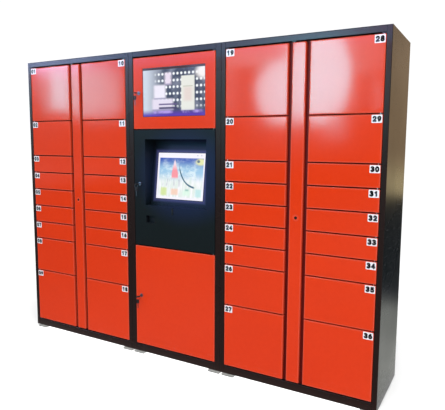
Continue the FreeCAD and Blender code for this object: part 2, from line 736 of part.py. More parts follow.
pins = [pin for side in COLUMNS for pin in column_pins(side, STILE, GAPS)]
pins += column_pins(CONTROL_SIDE, CONTROL_STILE, CONTROL_GAPS)
pins += [pin for bay in (LEFT_BAY, RIGHT_BAY) for pin in cover_hinges(sides(bay)[0])[1]]
save("hinge_pins", pins)

number = 0
for side in COLUMNS:
    for low, high in list(zip(GAPS, GAPS[1:]))[::-1]:
        number += 1
        save("door_%02d" % number, locker_door(side, low, high))

for name, bay in (("left", LEFT_BAY), ("right", RIGHT_BAY)):
    save(name + "_channel_cover", cover(bay))
    plug_z = BASE + COVER_LOCK_Z
    turning = lock_plug(sum(bay) / 2, plug_z, FRONT + COVER_PLUG_IN, COVER_CAM_BACK, COVER_CAM)
    save(name + "_cover_lock_plug", turning)

barrels = {}
barrel_holes = {}
for name, (x, z) in (("monitor", MONITOR_LOCK), ("control", CONTROL_LOCK), ("service", SERVICE_LOCK)):
    cam = x - (CONTROL[0] + CONTROL_STILE) + CAM_OVERLAP
    plug_face = FRONT - FLANGE_THICK - 0.5
    barrels[name] = flanged_barrel(x, BASE + z, FRAME_CAM_BACK)
    barrel_holes[name] = hole_in_face(x, BASE + z, BARREL_R)
    save(name + "_lock_plug", lock_plug(x, BASE + z, plug_face, FRAME_CAM_BACK, cam) + keys(x, BASE + z))

control_holes = [barrel_holes["control"], through_face(RECESS_X, RECESS_Z)] + coin_openings()
monitor_holes = [barrel_holes["monitor"], through_face(AD_WINDOW_X, AD_WINDOW_Z)]
save("service_door", [wide_door(0, [barrel_holes["service"]])] + barrels["service"])
save("control_door", [wide_door(1, control_holes), screen_recess()] + barrels["control"])
save("monitor_door", [wide_door(2, monitor_holes)] + barrels["monitor"])

save("ad_monitor", [ad_monitor()])
save("touch_screen", touch_screen())
save("coin_acceptor", coin_parts())
save("cash_box", cash_box())
save("control_electronics", control_electronics())
save("power_supply", power_supply())
save("levelling_feet", feet())
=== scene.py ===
import math

import bmesh
import bpy
from mathutils import Matrix, Vector


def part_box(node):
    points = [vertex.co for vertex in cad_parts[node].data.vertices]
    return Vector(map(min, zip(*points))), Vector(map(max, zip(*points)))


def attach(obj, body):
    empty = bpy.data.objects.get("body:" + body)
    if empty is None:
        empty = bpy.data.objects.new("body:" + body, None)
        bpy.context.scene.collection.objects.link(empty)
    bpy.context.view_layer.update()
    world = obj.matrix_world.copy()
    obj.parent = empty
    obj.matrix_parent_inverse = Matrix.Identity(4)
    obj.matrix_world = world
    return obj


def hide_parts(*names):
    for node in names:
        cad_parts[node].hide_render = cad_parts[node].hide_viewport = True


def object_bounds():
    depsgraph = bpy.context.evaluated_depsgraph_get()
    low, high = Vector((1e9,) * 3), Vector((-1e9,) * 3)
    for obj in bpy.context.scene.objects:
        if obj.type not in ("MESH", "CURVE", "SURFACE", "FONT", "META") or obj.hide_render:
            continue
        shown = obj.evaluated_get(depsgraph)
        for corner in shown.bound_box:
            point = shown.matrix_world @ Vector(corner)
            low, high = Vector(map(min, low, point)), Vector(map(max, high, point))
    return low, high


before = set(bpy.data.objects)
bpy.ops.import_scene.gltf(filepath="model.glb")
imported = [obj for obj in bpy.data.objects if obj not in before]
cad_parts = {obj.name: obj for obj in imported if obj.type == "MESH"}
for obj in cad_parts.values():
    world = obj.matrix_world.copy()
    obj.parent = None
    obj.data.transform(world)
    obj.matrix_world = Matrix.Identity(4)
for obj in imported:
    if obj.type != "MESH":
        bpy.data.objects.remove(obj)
cad_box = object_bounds()

# Places that everything else is measured from, in metres
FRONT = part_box("left_bay_carcass")[0].y
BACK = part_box("left_bay_carcass")[1].y
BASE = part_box("left_bay_carcass")[0].z
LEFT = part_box("left_bay_carcass")[0].x

DOOR_DEPTH = 0.018
DOOR_SHEET = 0.0012
LOCKS = {"monitor": 1.735, "control": 1.150, "service": 0.394}
LOCK_X = -0.265
COVER_LOCK_X = (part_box("left_channel_cover")[0].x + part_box("left_channel_cover")[1].x) / 2
COVER_LOCK_Z = BASE + 1.010

# --------------- node graphs


class Graph:
    """One material under construction. Sockets are linked, plain values are set on the input."""

    def __init__(self, name):
        self.material = bpy.data.materials.new(name)
        self.material.use_nodes = True
        self.tree = self.material.node_tree
        self.tree.nodes.clear()
        self.place = self.add("ShaderNodeTexCoord").outputs["Object"]
        parts = self.add("ShaderNodeSeparateXYZ", {"Vector": self.place}).outputs
        self.x, self.y, self.z = parts

    def add(self, kind, inputs=None, **settings):
        node = self.tree.nodes.new(kind)
        for key, value in settings.items():
            setattr(node, key, value)
        for key, value in (inputs or {}).items():
            if isinstance(value, bpy.types.NodeSocket):
                self.tree.links.new(value, node.inputs[key])
            elif value is not None:
                node.inputs[key].default_value = value
        return node

    def math(self, operation, *values):
        return self.add("ShaderNodeMath", dict(enumerate(values)), operation=operation).outputs[0]

    def noise(self, scale, detail=2.0, stretch=(1, 1, 1), rough=0.5):
        vector = self.place
        if stretch != (1, 1, 1):
            vector = self.add("ShaderNodeMapping", {"Vector": self.place, "Scale": stretch}).outputs[0]
        inputs = {"Vector": vector, "Scale": scale, "Detail": detail, "Roughness": rough}
        return self.add("ShaderNodeTexNoise", inputs).outputs[0]

    def cells(self, scale):
        return self.add("ShaderNodeTexVoronoi", {"Vector": self.place, "Scale": scale}).outputs

    def remap(self, value, low, high, to_low=0.0, to_high=1.0, smooth=False):
        inputs = {0: value, 1: low, 2: high, 3: to_low, 4: to_high}
        kind = "SMOOTHSTEP" if smooth else "LINEAR"
        return self.add("ShaderNodeMapRange", inputs, interpolation_type=kind).outputs[0]

    def mix(self, factor, a, b):
        """Colour a where factor is 0 and colour b where it is 1."""
        inputs = {0: factor, 6: rgba(a), 7: rgba(b)}
        return self.add("ShaderNodeMix", inputs, data_type="RGBA").outputs[2]

    def bump(self, height, distance, normal=None):
        inputs = {"Height": height, "Distance": distance, "Strength": 1.0, "Normal": normal}
        return self.add("ShaderNodeBump", inputs).outputs[0]

    def above(self, value, limit):
        return self.math("GREATER_THAN", value, limit)

    def band(self, value, low, high, soft):
        """1 where value is between low and high, with soft edges."""
        rise = self.remap(value, low - soft, low + soft, smooth=True)
        fall = self.remap(value, high - soft, high + soft, 1.0, 0.0, smooth=True)
        return self.math("MULTIPLY", rise, fall)

    def patch(self, u, v, u_limits, v_limits, soft):
        """1 within limits in both ways, with soft edges."""
        return self.math("MULTIPLY", self.band(u, *u_limits, soft), self.band(v, *v_limits, soft))

    def off_centre(self, u, v, centre, size):
        """Distance from a centre, measured in units of size along each of the two ways."""
        du = self.math("DIVIDE", self.math("SUBTRACT", u, centre[0]), size[0])
        dv = self.math("DIVIDE", self.math("SUBTRACT", v, centre[1]), size[1])
        squares = self.math("ADD", self.math("MULTIPLY", du, du), self.math("MULTIPLY", dv, dv))
        return self.math("SQRT", squares)

    def beyond(self, value, limits):
        """How far a value lies outside limits, negative within them."""
        from_middle = self.math("ABSOLUTE", self.math("SUBTRACT", value, (limits[0] + limits[1]) / 2))
        return self.math("SUBTRACT", from_middle, (limits[1] - limits[0]) / 2)

    def oval(self, u, v, centre, size, soft):
        """1 within an oval, with a soft edge."""
        return self.remap(self.off_centre(u, v, centre, size), 1 - soft, 1 + soft, 1.0, 0.0, smooth=True)

    def finish(self, shader):
        output = self.add("ShaderNodeOutputMaterial")
        self.tree.links.new(shader, output.inputs["Surface"])
        return self.material

    def principled(self, colour, roughness, normal=None, **sockets):
        inputs = {"Base Color": rgba(colour), "Roughness": roughness, "Normal": normal}
        inputs.update({key.replace("_", " "): rgba(value) for key, value in sockets.items()})
        return self.finish(self.add("ShaderNodeBsdfPrincipled", inputs).outputs[0])


def rgba(value):
    """Three numbers as a colour with alpha; anything else as it is."""
    return (*value, 1.0) if isinstance(value, tuple) and len(value) == 3 else value


# --------------- finishes


EDGE_REACH = 0.009
BARREL_R = 0.0155


def metal_share(g, axes, behind):
    """1 on the bare metal of a door: the striker behind it and the barrels of its locks."""
    share = g.above(g.y, FRONT + behind)
    for place in axes:
        near = g.math("LESS_THAN", g.off_centre(g.x, g.z, place, (1, 1)), BARREL_R)
        inside = g.math("MULTIPLY", near, g.above(g.y, FRONT + DOOR_SHEET + 0.0001))
        share = g.math("MAXIMUM", share, inside)
    return share


def edge_share(g):
    """1 along sharp edges and 0 on the flats, from how far rounding would turn the surface."""
    rounded = g.add("ShaderNodeBevel", {"Radius": EDGE_REACH}, samples=6).outputs[0]
    flat = g.add("ShaderNodeNewGeometry").outputs["Normal"]
    along = g.add("ShaderNodeVectorMath", {0: rounded, 1: flat}, operation="DOT_PRODUCT").outputs["Value"]
    return g.remap(along, 0.9995, 0.96, smooth=True)


PEEL = 0.000014
EDGE_HIGHLIGHT_SHARE = 0.60
SUNK_GLOSS = 0.01
LOCK_HOLE_R = (0.0080, 0.0088)
# Heights where the painted warm bounce light on the frame fades out below the top rail
WARM_TOP = (BASE + 1.94, BASE + 1.90)
DUST = (0.30, 0.29, 0.27)
BARE_METAL = (0.52, 0.53, 0.52)
LOCK_SHADOW = (0.004, 0.003, 0.003)
WARM_BOUNCE_GLOSS = (1.0, 0.72, 0.64)
# Painted light of the touch screen: size and colour of its glow painted into the panel, reach and colour of
# the rim where the panel itself glows
GLOW_SIZE = (0.38, 0.31)
GLOW_COLOUR = (0.0068, 0.0130, 0.0400)
HALO_REACH = 0.026
HALO_COLOUR = (0.050, 0.050, 0.16)


def powder_coat(name, colour, shade, rough, grain, wave, specular, axes=None, behind=DOOR_DEPTH + 0.0001,
                edge=None, glow=None, halo=None, warm_bounce=None):
    """Baked paint on sheet steel: orange peel, slow waves of the sheet, dust and fine rubbing marks.

    axes: places of locks, with bare metal inside them and behind;
    edge: colour of a painted highlight along sharp edges;
    glow and halo: centre of the screen's light painted onto the paint, and the screen's own limits, round
    which the paint glows;
    warm_bounce: colour of painted warm bounce light on the front faces below the top rail,
    which also tints their reflections.
    """
    g = Graph(name)
    clouds = g.noise(1.7, 3.0)
    mottle = g.noise(55.0, 3.0)
    tone = g.math("ADD", g.remap(clouds, 0.3, 0.7, 0.0, 0.6), g.remap(mottle, 0.35, 0.7, 0.0, 0.4))
    base = g.mix(tone, colour, shade)
    rubbed = g.remap(g.noise(9.0, 6.0, (1, 1, 14), 0.65), 0.60, 0.72, 0.0, 0.07)
    low = g.remap(g.z, BASE + 0.16, BASE, smooth=True)
    scuffs = g.math("MULTIPLY", g.remap(g.noise(38.0, 5.0, (1, 1, 3), 0.7), 0.56, 0.64), low)
    base = g.mix(g.math("MULTIPLY", scuffs, 0.10), base, DUST)
    roughness = g.math("ADD", g.remap(clouds, 0.3, 0.7, rough - 0.03, rough + 0.04), rubbed)
    roughness = g.math("ADD", roughness, g.math("MULTIPLY", scuffs, 0.2))
    normal = g.bump(g.noise(1.55, 1.0, (1.0, 1.0, 0.8)), wave)
    normal = g.bump(g.noise(grain, 2.0), PEEL, normal)
    if glow:
        # Painted light: the screen's blue glow painted into the panel's colour round its centre.
        near = g.off_centre(g.x, g.z, glow, GLOW_SIZE)
        base = g.mix(g.remap(near, 0.50, 1.15, 1.0, 0.0, smooth=True), base, GLOW_COLOUR)
    # Painted highlight: a lighter colour along sharp edges, where rounded bends would catch the light.
    if edge:
        turning = edge_share(g)
        base = g.mix(g.math("MULTIPLY", turning, EDGE_HIGHLIGHT_SHARE), base, edge)
        sunk = g.remap(g.y, FRONT + 0.0002, FRONT + 0.0012)
        specular = g.remap(g.math("MAXIMUM", turning, sunk), 0.0, 1.0, specular, SUNK_GLOSS)
        # Painted shadow round each lock hole.
        for place in axes:
            near = g.off_centre(g.x, g.z, place, (1, 1))
            base = g.mix(g.remap(near, *LOCK_HOLE_R, 1.0, 0.0), base, LOCK_SHADOW)
    if halo:
        # Painted light: the paint itself glows blue in a rim round the screen.
        outside = g.math("MAXIMUM", g.beyond(g.x, halo[0]), g.beyond(g.z, halo[1]))
        away = g.math("MAXIMUM", outside, 0.0)
        near = g.remap(away, 0.0, HALO_REACH, 1.0, 0.0, smooth=True)
        near = g.math("MULTIPLY", near, g.above(g.y, FRONT + 0.040))
        strength = g.math("MULTIPLY", near, g.remap(clouds, 0.2, 0.8, 0.6, 1.0))
        return g.principled(base, roughness, normal, Specular_IOR_Level=specular,
                            Emission_Color=HALO_COLOUR, Emission_Strength=strength)
    if warm_bounce:
        # Painted light: warm bounce light from the orange doors painted onto the front faces below the top
        # rail, with a painted warm tint on their reflections.
        facing = g.math("LESS_THAN", g.y, FRONT + 0.001)
        facing = g.math("MULTIPLY", facing, g.remap(g.z, *WARM_TOP, smooth=True))
        base = g.mix(facing, base, warm_bounce)
        tint = g.mix(facing, (1.0, 1.0, 1.0), WARM_BOUNCE_GLOSS)
        return g.principled(base, roughness, normal, Specular_IOR_Level=specular, Specular_Tint=tint)
    if axes is None:
        return g.principled(base, roughness, normal, Specular_IOR_Level=specular)
    share = metal_share(g, axes, behind)
    base = g.mix(share, base, BARE_METAL)
    return g.principled(base, roughness, normal, Specular_IOR_Level=specular, Metallic=share)


STAIN = (0.34, 0.34, 0.33)
# Dark paint on the shelves' front bars, tinted red as painted orange bounce light from the doors
FRONT_BAR_BOUNCE_RED = (0.10, 0.005, 0.003)


def zinc(name, tint, scale, rough, painted_to=None):
    """Galvanised sheet with crystal patches of differing tone and gloss; in front of painted_to, dark paint
    tinted red by painted orange bounce light.
    """
    g = Graph(name)
    spangle = g.cells(scale)
    tone = g.add("ShaderNodeSeparateColor", {"Color": spangle["Color"]}).outputs[0]
    stain = g.noise(7.0, 4.0)
    dull = tuple(0.72 * c for c in tint)
    base = g.mix(g.remap(tone, 0.0, 1.0, 0.0, 0.6), tint, dull)
    base = g.mix(g.remap(stain, 0.55, 0.75, 0.0, 0.35), base, STAIN)
    roughness = g.remap(tone, 0.0, 1.0, rough - 0.07, rough + 0.07)
    roughness = g.math("ADD", roughness, g.remap(stain, 0.3, 0.7, 0.0, 0.1))
    normal = g.bump(g.noise(300.0, 2.0), 0.00003)
    if painted_to is None:
        return g.principled(base, roughness, normal, Metallic=1.0)
    # Painted bounce light: in front of painted_to the bars are dark paint tinted red, as if lit by the orange
    # doors.
    bare = g.above(g.y, painted_to)
    base = g.mix(bare, FRONT_BAR_BOUNCE_RED, base)
    return g.principled(base, roughness, normal, Metallic=bare, Specular_IOR_Level=0.05)


def brushed(name, tint, rough, direction, scale=240.0):
    """Metal with fine lines along one direction."""
    g = Graph(name)
    lines = g.noise(scale, 3.0, direction, 0.6)
    haze = g.noise(14.0, 3.0)
    base = g.mix(g.remap(lines, 0.35, 0.65), tint, tuple(0.8 * c for c in tint))
    roughness = g.remap(lines, 0.3, 0.7, rough - 0.05, rough + 0.06)
    roughness = g.math("ADD", roughness, g.remap(haze, 0.4, 0.7, 0.0, 0.08))
    return g.principled(base, roughness, g.bump(lines, 0.00002), Metallic=1.0)


def chrome(name):
    """Dark nickel plating with faint wiping marks."""
    g = Graph(name)
    haze = g.noise(120.0, 4.0)
    base = g.mix(g.remap(haze, 0.4, 0.7), (0.095, 0.105, 0.125), (0.060, 0.066, 0.080))
    normal = g.bump(g.noise(900.0, 1.0), 0.000008)
    return g.principled(base, g.remap(haze, 0.3, 0.7, 0.30, 0.42), normal, Metallic=1.0)


GRAIN_DEPTH = 0.00005
SLOT_DEPTH = 0.0012
SLOT_SHADE_BLACK = (0.0008, 0.0008, 0.0008)


def moulded(name, colour, rough, grain=700.0, specular=0.3, vents=None):
    """Fine-grained moulded plastic, a little polished by handling, with rows of air slots within vents."""
    g = Graph(name)
    wear = g.noise(30.0, 4.0)
    lighter = tuple(min(1.0, 1.5 * c + 0.006) for c in colour)
    base = g.mix(g.remap(wear, 0.45, 0.75), colour, lighter)
    roughness = g.remap(wear, 0.3, 0.7, rough + 0.06, rough - 0.06)
    normal = g.bump(g.noise(grain, 2.0), GRAIN_DEPTH)
    if vents:
        # Painted shade: the air slots are painted black for the dark inside them, and sunk by a bump.
        across = g.band(g.math("FRACT", g.math("MULTIPLY", g.x, 110.0)), 0.30, 0.70, 0.06)
        up = g.band(g.math("FRACT", g.math("MULTIPLY", g.z, 42.0)), 0.12, 0.88, 0.03)
        slots = g.math("MULTIPLY", g.math("MULTIPLY", across, up), g.patch(g.x, g.z, *vents, 0.0004))
        base = g.mix(slots, base, SLOT_SHADE_BLACK)
        normal = g.bump(g.math("SUBTRACT", 1.0, slots), SLOT_DEPTH, normal)
    return g.principled(base, roughness, normal, Specular_IOR_Level=specular)


def vinyl(name, colour, rough):
    """Printed film: even colour with the faint cloudiness of its adhesive."""
    g = Graph(name)
    clouds = g.noise(90.0, 3.0)
    base = g.mix(g.remap(clouds, 0.4, 0.75, 0.0, 0.5), colour, tuple(0.86 * c for c in colour))
    return g.principled(base, g.remap(clouds, 0.3, 0.7, rough, rough + 0.1), g.bump(clouds, 0.00004))


def screen_place(g, corner, size, tilt):
    """Picture coordinates from 0 to 1 across and up a screen that leans back by tilt."""
    u = g.math("DIVIDE", g.math("SUBTRACT", g.x, corner[0]), size[0])
    rise = g.math("DIVIDE", g.math("SUBTRACT", g.z, corner[1]), size[1] * math.cos(tilt))
    return u, rise


def lit(g, picture, strength):
    """Glass over a lit picture, with faint grain and smears."""
    cells = g.noise(1500.0, 0.0)
    shown = g.mix(g.remap(cells, 0.3, 0.7, 0.0, 0.05), picture, (0.0, 0.0, 0.0))
    smear = g.remap(g.noise(6.0, 3.0), 0.4, 0.7, 0.06, 0.16)
    return g.principled((0.01, 0.01, 0.012), smear, Emission_Color=shown, Emission_Strength=strength)


def advert(name, corner, size):
    """Abstract advertisement: a lattice of lights, stacked pale parcels and a tall white box."""
    g = Graph(name)
    u, v = screen_place(g, corner, size, 0.0)
    picture = g.mix(g.remap(u, 0.02, 0.40, smooth=True), (0.60, 0.66, 0.76), (0.030, 0.045, 0.100))
    haze = g.noise(16.0, 4.0)
    picture = g.mix(g.remap(haze, 0.45, 0.75, 0.0, 0.40), picture, (0.46, 0.50, 0.64))
    across = g.math("ABSOLUTE", g.math("SUBTRACT", g.math("FRACT", g.math("MULTIPLY", u, 16.6)), 0.5))
    up = g.math("ABSOLUTE", g.math("SUBTRACT", g.math("FRACT", g.math("MULTIPLY", v, 7.6)), 0.5))
    up = g.math("MULTIPLY", up, 1.45)
    spread = g.math("SQRT", g.math("ADD", g.math("MULTIPLY", across, across), g.math("MULTIPLY", up, up)))
    bulb = g.remap(spread, 0.14, 0.42, 1.0, 0.0, smooth=True)
    field = g.patch(u, v, (0.22, 1.05), (0.20, 1.05), 0.05)
    picture = g.mix(g.math("MULTIPLY", bulb, field), picture, (0.92, 0.96, 1.0))
    picture = g.mix(g.oval(u, v, (0.97, 0.86), (0.11, 0.13), 0.5), picture, (0.90, 0.86, 0.86))
    for low, high, left, right, tint in ((0.13, 0.36, 0.16, 0.50, (0.76, 0.70, 0.84)),
                                         (0.36, 0.64, 0.19, 0.38, (0.84, 0.80, 0.92)),
                                         (0.64, 0.88, 0.37, 0.47, (0.80, 0.70, 0.84))):
        picture = g.mix(g.patch(u, v, (left, right), (low, high), 0.03), picture, tint)
        picture = g.mix(g.patch(u, v, (left, right), (low, low + 0.02), 0.02), picture, (0.24, 0.22, 0.40))
    picture = g.mix(g.patch(u, v, (0.27, 0.56), (0.155, 0.195), 0.015), picture, (0.035, 0.025, 0.12))
    picture = g.mix(g.patch(u, v, (0.27, 0.56), (0.235, 0.265), 0.012), picture, (0.10, 0.07, 0.22))
    picture = g.mix(g.patch(u, v, (0.63, 0.835), (0.12, 0.80), 0.012), picture, (0.78, 0.79, 0.74))
    picture = g.mix(g.patch(u, v, (0.67, 0.80), (0.30, 0.58), 0.04), picture, (0.76, 0.66, 0.62))
    picture = g.mix(g.patch(u, v, (0.66, 0.81), (0.585, 0.60), 0.01), picture, (0.50, 0.52, 0.42))
    stand = g.remap(v, 0.17, 0.02, 0.0, 1.0, smooth=True)
    picture = g.mix(stand, picture, (0.075, 0.012, 0.42))
    gleam = g.math("MULTIPLY", g.band(v, 0.07, 0.12, 0.02), g.remap(haze, 0.4, 0.6))
    picture = g.mix(gleam, picture, (0.42, 0.30, 0.80))
    # Black rim round the picture, much wider along the top as a painted shadow under the top edge of the
    # window.
    edge = g.patch(u, v, (0.006, 0.994), (0.004, 0.952), 0.004)
    return lit(g, g.mix(edge, (0.030, 0.006, 0.016), picture), 1.04)


def touch_page(name, corner, size, tilt):
    """Start page of the locker: white header, sky with a cone and a curve, and four soft tiles."""
    g = Graph(name)
    u, v = screen_place(g, corner, size, tilt)
    blue = g.mix(g.remap(v, 0.88, 0.62, smooth=True), (0.030, 0.085, 0.42), (0.30, 0.52, 0.72))
    cloud = g.remap(g.noise(15.0, 5.0, (1, 1, 1.8), 0.62), 0.44, 0.62, smooth=True)
    cloud = g.math("MULTIPLY", cloud, g.remap(v, 0.88, 0.55, 0.10, 0.85))
    page = g.mix(cloud, blue, (0.72, 0.84, 0.88))
    streak = g.noise(60.0, 2.0, (1, 1, 0.12))
    low_page = g.mix(g.remap(streak, 0.42, 0.62), (0.68, 0.76, 0.72), (0.86, 0.86, 0.90))
    page = g.mix(g.remap(v, 0.60, 0.34, smooth=True), page, low_page)
    from_middle = g.math("ABSOLUTE", g.math("SUBTRACT", u, g.remap(v, 0.80, 0.50, 0.37, 0.385)))
    half_width = g.remap(v, 0.83, 0.56, 0.008, 0.068)
    cone = g.remap(g.math("SUBTRACT", from_middle, half_width), -0.012, 0.012, 1.0, 0.0, smooth=True)
    cone = g.math("MULTIPLY", cone, g.band(v, 0.46, 0.84, 0.03))
    page = g.mix(cone, page, g.mix(g.remap(v, 0.62, 0.76), (0.84, 0.27, 0.32), (0.84, 0.66, 0.72)))
    reeds = g.math("MULTIPLY", g.remap(streak, 0.52, 0.60), g.patch(u, v, (0.12, 0.50), (0.28, 0.44), 0.04))
    page = g.mix(g.math("MULTIPLY", reeds, 0.55), page, (0.16, 0.24, 0.27))
    fall = g.math("POWER", 2.718, g.math("MULTIPLY", g.math("SUBTRACT", u, 0.47), -8.5))
    height = g.math("ADD", g.math("MULTIPLY", fall, 0.44), 0.245)
    thick = g.remap(u, 0.47, 0.60, 0.055, 0.024)
    off_line = g.math("DIVIDE", g.math("ABSOLUTE", g.math("SUBTRACT", v, height)), thick)
    line = g.remap(off_line, 0.5, 1.1, 1.0, 0.0, smooth=True)
    page = g.mix(g.math("MULTIPLY", line, g.band(u, 0.475, 0.80, 0.02)), page, (0.035, 0.12, 0.19))
    for left, right, low, high, tint in ((0.10, 0.23, 0.08, 0.25, (0.55, 0.68, 0.20)),
                                         (0.32, 0.47, 0.10, 0.23, (0.84, 0.52, 0.38)),
                                         (0.57, 0.72, 0.10, 0.21, (0.62, 0.84, 0.70)),
                                         (0.62, 0.69, 0.20, 0.23, (0.06, 0.34, 0.28)),
                                         (0.83, 0.95, 0.08, 0.24, (0.42, 0.70, 0.72))):
        tile = g.patch(u, v, (left, right), (low, high), 0.025)
        page = g.mix(g.math("MULTIPLY", tile, 0.8), page, tint)
    page = g.mix(g.oval(u, v, (0.91, 0.81), (0.10, 0.07), 0.4), page, (0.70, 0.72, 0.36))
    page = g.mix(g.oval(u, v, (0.86, 0.82), (0.03, 0.03), 0.4), page, (0.10, 0.16, 0.22))
    inside = g.patch(u, v, (0.045, 0.965), (0.055, 0.885), 0.006)
    page = g.mix(inside, (0.82, 0.80, 0.92), page)
    for left in (0.82, 0.90):
        page = g.mix(g.patch(u, v, (left, left + 0.03), (0.930, 0.955), 0.006), page, (0.58, 0.58, 0.68))
    return lit(g, page, 1.14)


ORANGE = (0.525, 0.0310, 0.0036)
ORANGE_SHADE = (0.490, 0.0260, 0.0024)
# Colour of the painted highlight along the doors' sharp edges
ORANGE_EDGE_HIGHLIGHT = (0.47, 0.085, 0.055)
BLACK = (0.0055, 0.0065, 0.0075)
BLACK_SHADE = (0.0040, 0.0046, 0.0054)
PANEL = (0.0050, 0.0085, 0.0095)
PANEL_SHADE = (0.0042, 0.0068, 0.0078)
# Orange darkened to dark red for the lock channels: painted shade, as if deep in their grooves
CHANNEL_IN_SHADE = (0.10, 0.004, 0.002)
CHANNEL_SHADE = (0.085, 0.003, 0.0015)
# Colour of the painted warm bounce light on the frame's front faces
FRAME_FRONT_BOUNCE = (0.0092, 0.0047, 0.0043)
GLOSS = 0.20
SCREEN_LIMITS = ((-0.185, 0.188), (BASE + 1.053, BASE + 1.358))

monitor_lock, control_lock, service_lock = ((LOCK_X, BASE + height) for height in LOCKS.values())
cover_locks = [(COVER_LOCK_X, COVER_LOCK_Z), (-COVER_LOCK_X, COVER_LOCK_Z)]

door_paint = powder_coat("door_paint_coat", ORANGE, ORANGE_SHADE, 0.10, 420.0, 0.0040, GLOSS, axes=(),
                         edge=ORANGE_EDGE_HIGHLIGHT)
lock_door_paint = powder_coat("lock_door_paint_coat", ORANGE, ORANGE_SHADE, 0.15, 420.0, 0.0030, GLOSS,
                              axes=[monitor_lock, service_lock], edge=ORANGE_EDGE_HIGHLIGHT)
cover_paint = powder_coat("cover_paint_coat", ORANGE, ORANGE_SHADE, 0.11, 420.0, 0.0030, GLOSS,
                          axes=cover_locks, edge=ORANGE_EDGE_HIGHLIGHT)
frame_paint = powder_coat("frame_paint_coat", BLACK, BLACK_SHADE, 0.27, 520.0, 0.0012, 0.13,
                          warm_bounce=FRAME_FRONT_BOUNCE)
# Painted shade: the lock channels are orange paint darkened as if deep in the grooves.
channel_shaded_paint = powder_coat("channel_shaded_paint_coat", CHANNEL_IN_SHADE, CHANNEL_SHADE, 0.45, 420.0, 0.0010, 0.07)
panel_paint = powder_coat("panel_paint_coat", PANEL, PANEL_SHADE, 0.34, 520.0, 0.0010, 0.05,
                          axes=[control_lock], behind=0.30, glow=(0.08, BASE + 1.215), halo=SCREEN_LIMITS)
shelf_steel = zinc("shelf_steel_sheet", (0.60, 0.61, 0.62), 45.0, 0.38, FRONT + 0.0362)
lock_zinc = zinc("lock_zinc_plate", (0.62, 0.61, 0.56), 160.0, 0.30)
foot_steel = powder_coat("foot_steel_plate", (0.20, 0.20, 0.19), (0.15, 0.15, 0.14), 0.40, 300.0, 0.0010, 0.4)
cash_steel = brushed("cash_steel_sheet", (0.58, 0.58, 0.57), 0.32, (1, 1, 0.03))
pin_steel = brushed("pin_steel_rod", (0.50, 0.50, 0.49), 0.28, (1, 1, 0.05), 900.0)
lock_chrome = chrome("lock_chrome_plate")
cover_plug = moulded("cover_plug_black", (0.004, 0.003, 0.003), 0.5, specular=0.1)
# Key metal far darker than bare steel: painted shade on the keys
key_steel = brushed("key_steel_blade", (0.050, 0.050, 0.052), 0.40, (1, 0.05, 1), 1500.0)
key_plastic = moulded("key_plastic_grip", (0.007, 0.007, 0.008), 0.45, specular=0.15)
coin_black = moulded("coin_black_case", (0.005, 0.007, 0.010), 0.55, specular=0.08)
monitor_case = moulded("monitor_case_shell", (0.016, 0.017, 0.019), 0.45, 500.0,
                       vents=((-0.19, 0.20), (BASE + 1.786, BASE + 1.858)))
screen_case = moulded("screen_case_shell", (0.016, 0.017, 0.019), 0.42, 500.0,
                      vents=((-0.14, 0.14), (BASE + 1.285, BASE + 1.333)))
electronics_case = moulded("electronics_case_shell", (0.045, 0.050, 0.058), 0.40, 500.0)
supply_case = zinc("supply_case_sheet", (0.58, 0.59, 0.60), 80.0, 0.33)
circuit_green = moulded("circuit_board_green", (0.004, 0.045, 0.016), 0.35, 260.0)
plug_white = moulded("plug_shell_white", (0.55, 0.55, 0.50), 0.45)
label_film = vinyl("label_film", (0.60, 0.60, 0.64), 0.30)
label_ink = vinyl("label_ink", (0.006, 0.006, 0.020), 0.42)

FINISHES = {
    "door_": door_paint,
    "left_channel_cover": cover_paint,
    "right_channel_cover": cover_paint,
    "service_door": lock_door_paint,
    "monitor_door": lock_door_paint,
    "control_door": panel_paint,
    "left_bay_carcass": frame_paint,
    "right_bay_carcass": frame_paint,
    "control_bay_carcass": frame_paint,
    "lock_channels": channel_shaded_paint,
    "compartment_shelves": shelf_steel,
    "electronic_locks": lock_zinc,
    "hinge_pins": pin_steel,
    "levelling_feet": foot_steel,
    "control_electronics": electronics_case,
    "power_supply": supply_case,
    "cash_box": cash_steel,
    "ad_monitor": monitor_case,
    "touch_screen": screen_case,
    "coin_acceptor": coin_black,
    "left_cover_lock_plug": cover_plug,
    "right_cover_lock_plug": cover_plug,
    "monitor_lock_plug": lock_chrome,
    "control_lock_plug": lock_chrome,
    "service_lock_plug": lock_chrome,
}

for name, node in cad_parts.items():
    finish = next(value for key, value in FINISHES.items() if name.startswith(key))
    for slot in node.material_slots:
        slot.material = finish

# --------------- mesh helpers


def new_object(name, data):
    """A new object in the scene."""
    made = bpy.data.objects.new(name, data)
    bpy.context.scene.collection.objects.link(made)
    return made


def join(whole, part):
    """Moves a part's mesh into another."""
    carried = bpy.data.meshes.new("carried")
    part.to_mesh(carried)
    part.free()
    whole.from_mesh(carried)
    bpy.data.meshes.remove(carried)


SHARP_ANGLE = math.radians(32)


class Solid:
    """A mesh under construction, made of closed parts in several materials."""

    def __init__(self, *materials):
        self.mesh = bmesh.new()
        self.materials = materials

    def take(self, part, material, place=None):
        """Adds a part in one of the solid's materials, moved by the matrix place."""
        if place is not None:
            bmesh.ops.transform(part, matrix=place, verts=part.verts)
        bmesh.ops.recalc_face_normals(part, faces=part.faces)
        for face in part.faces:
            face.material_index = self.materials.index(material)
        join(self.mesh, part)

    def piece(self, name, body, slot, replaces=()):
        """The finished object, riding on a body."""
        mesh = bpy.data.meshes.new(name)
        self.mesh.to_mesh(mesh)
        self.mesh.free()
        for material in self.materials:
            mesh.materials.append(material)
        mesh.shade_smooth()
        mesh.set_sharp_from_angle(angle=SHARP_ANGLE)
        made = new_object(name, mesh)
        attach(made, body)
        if replaces:
            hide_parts(*replaces)


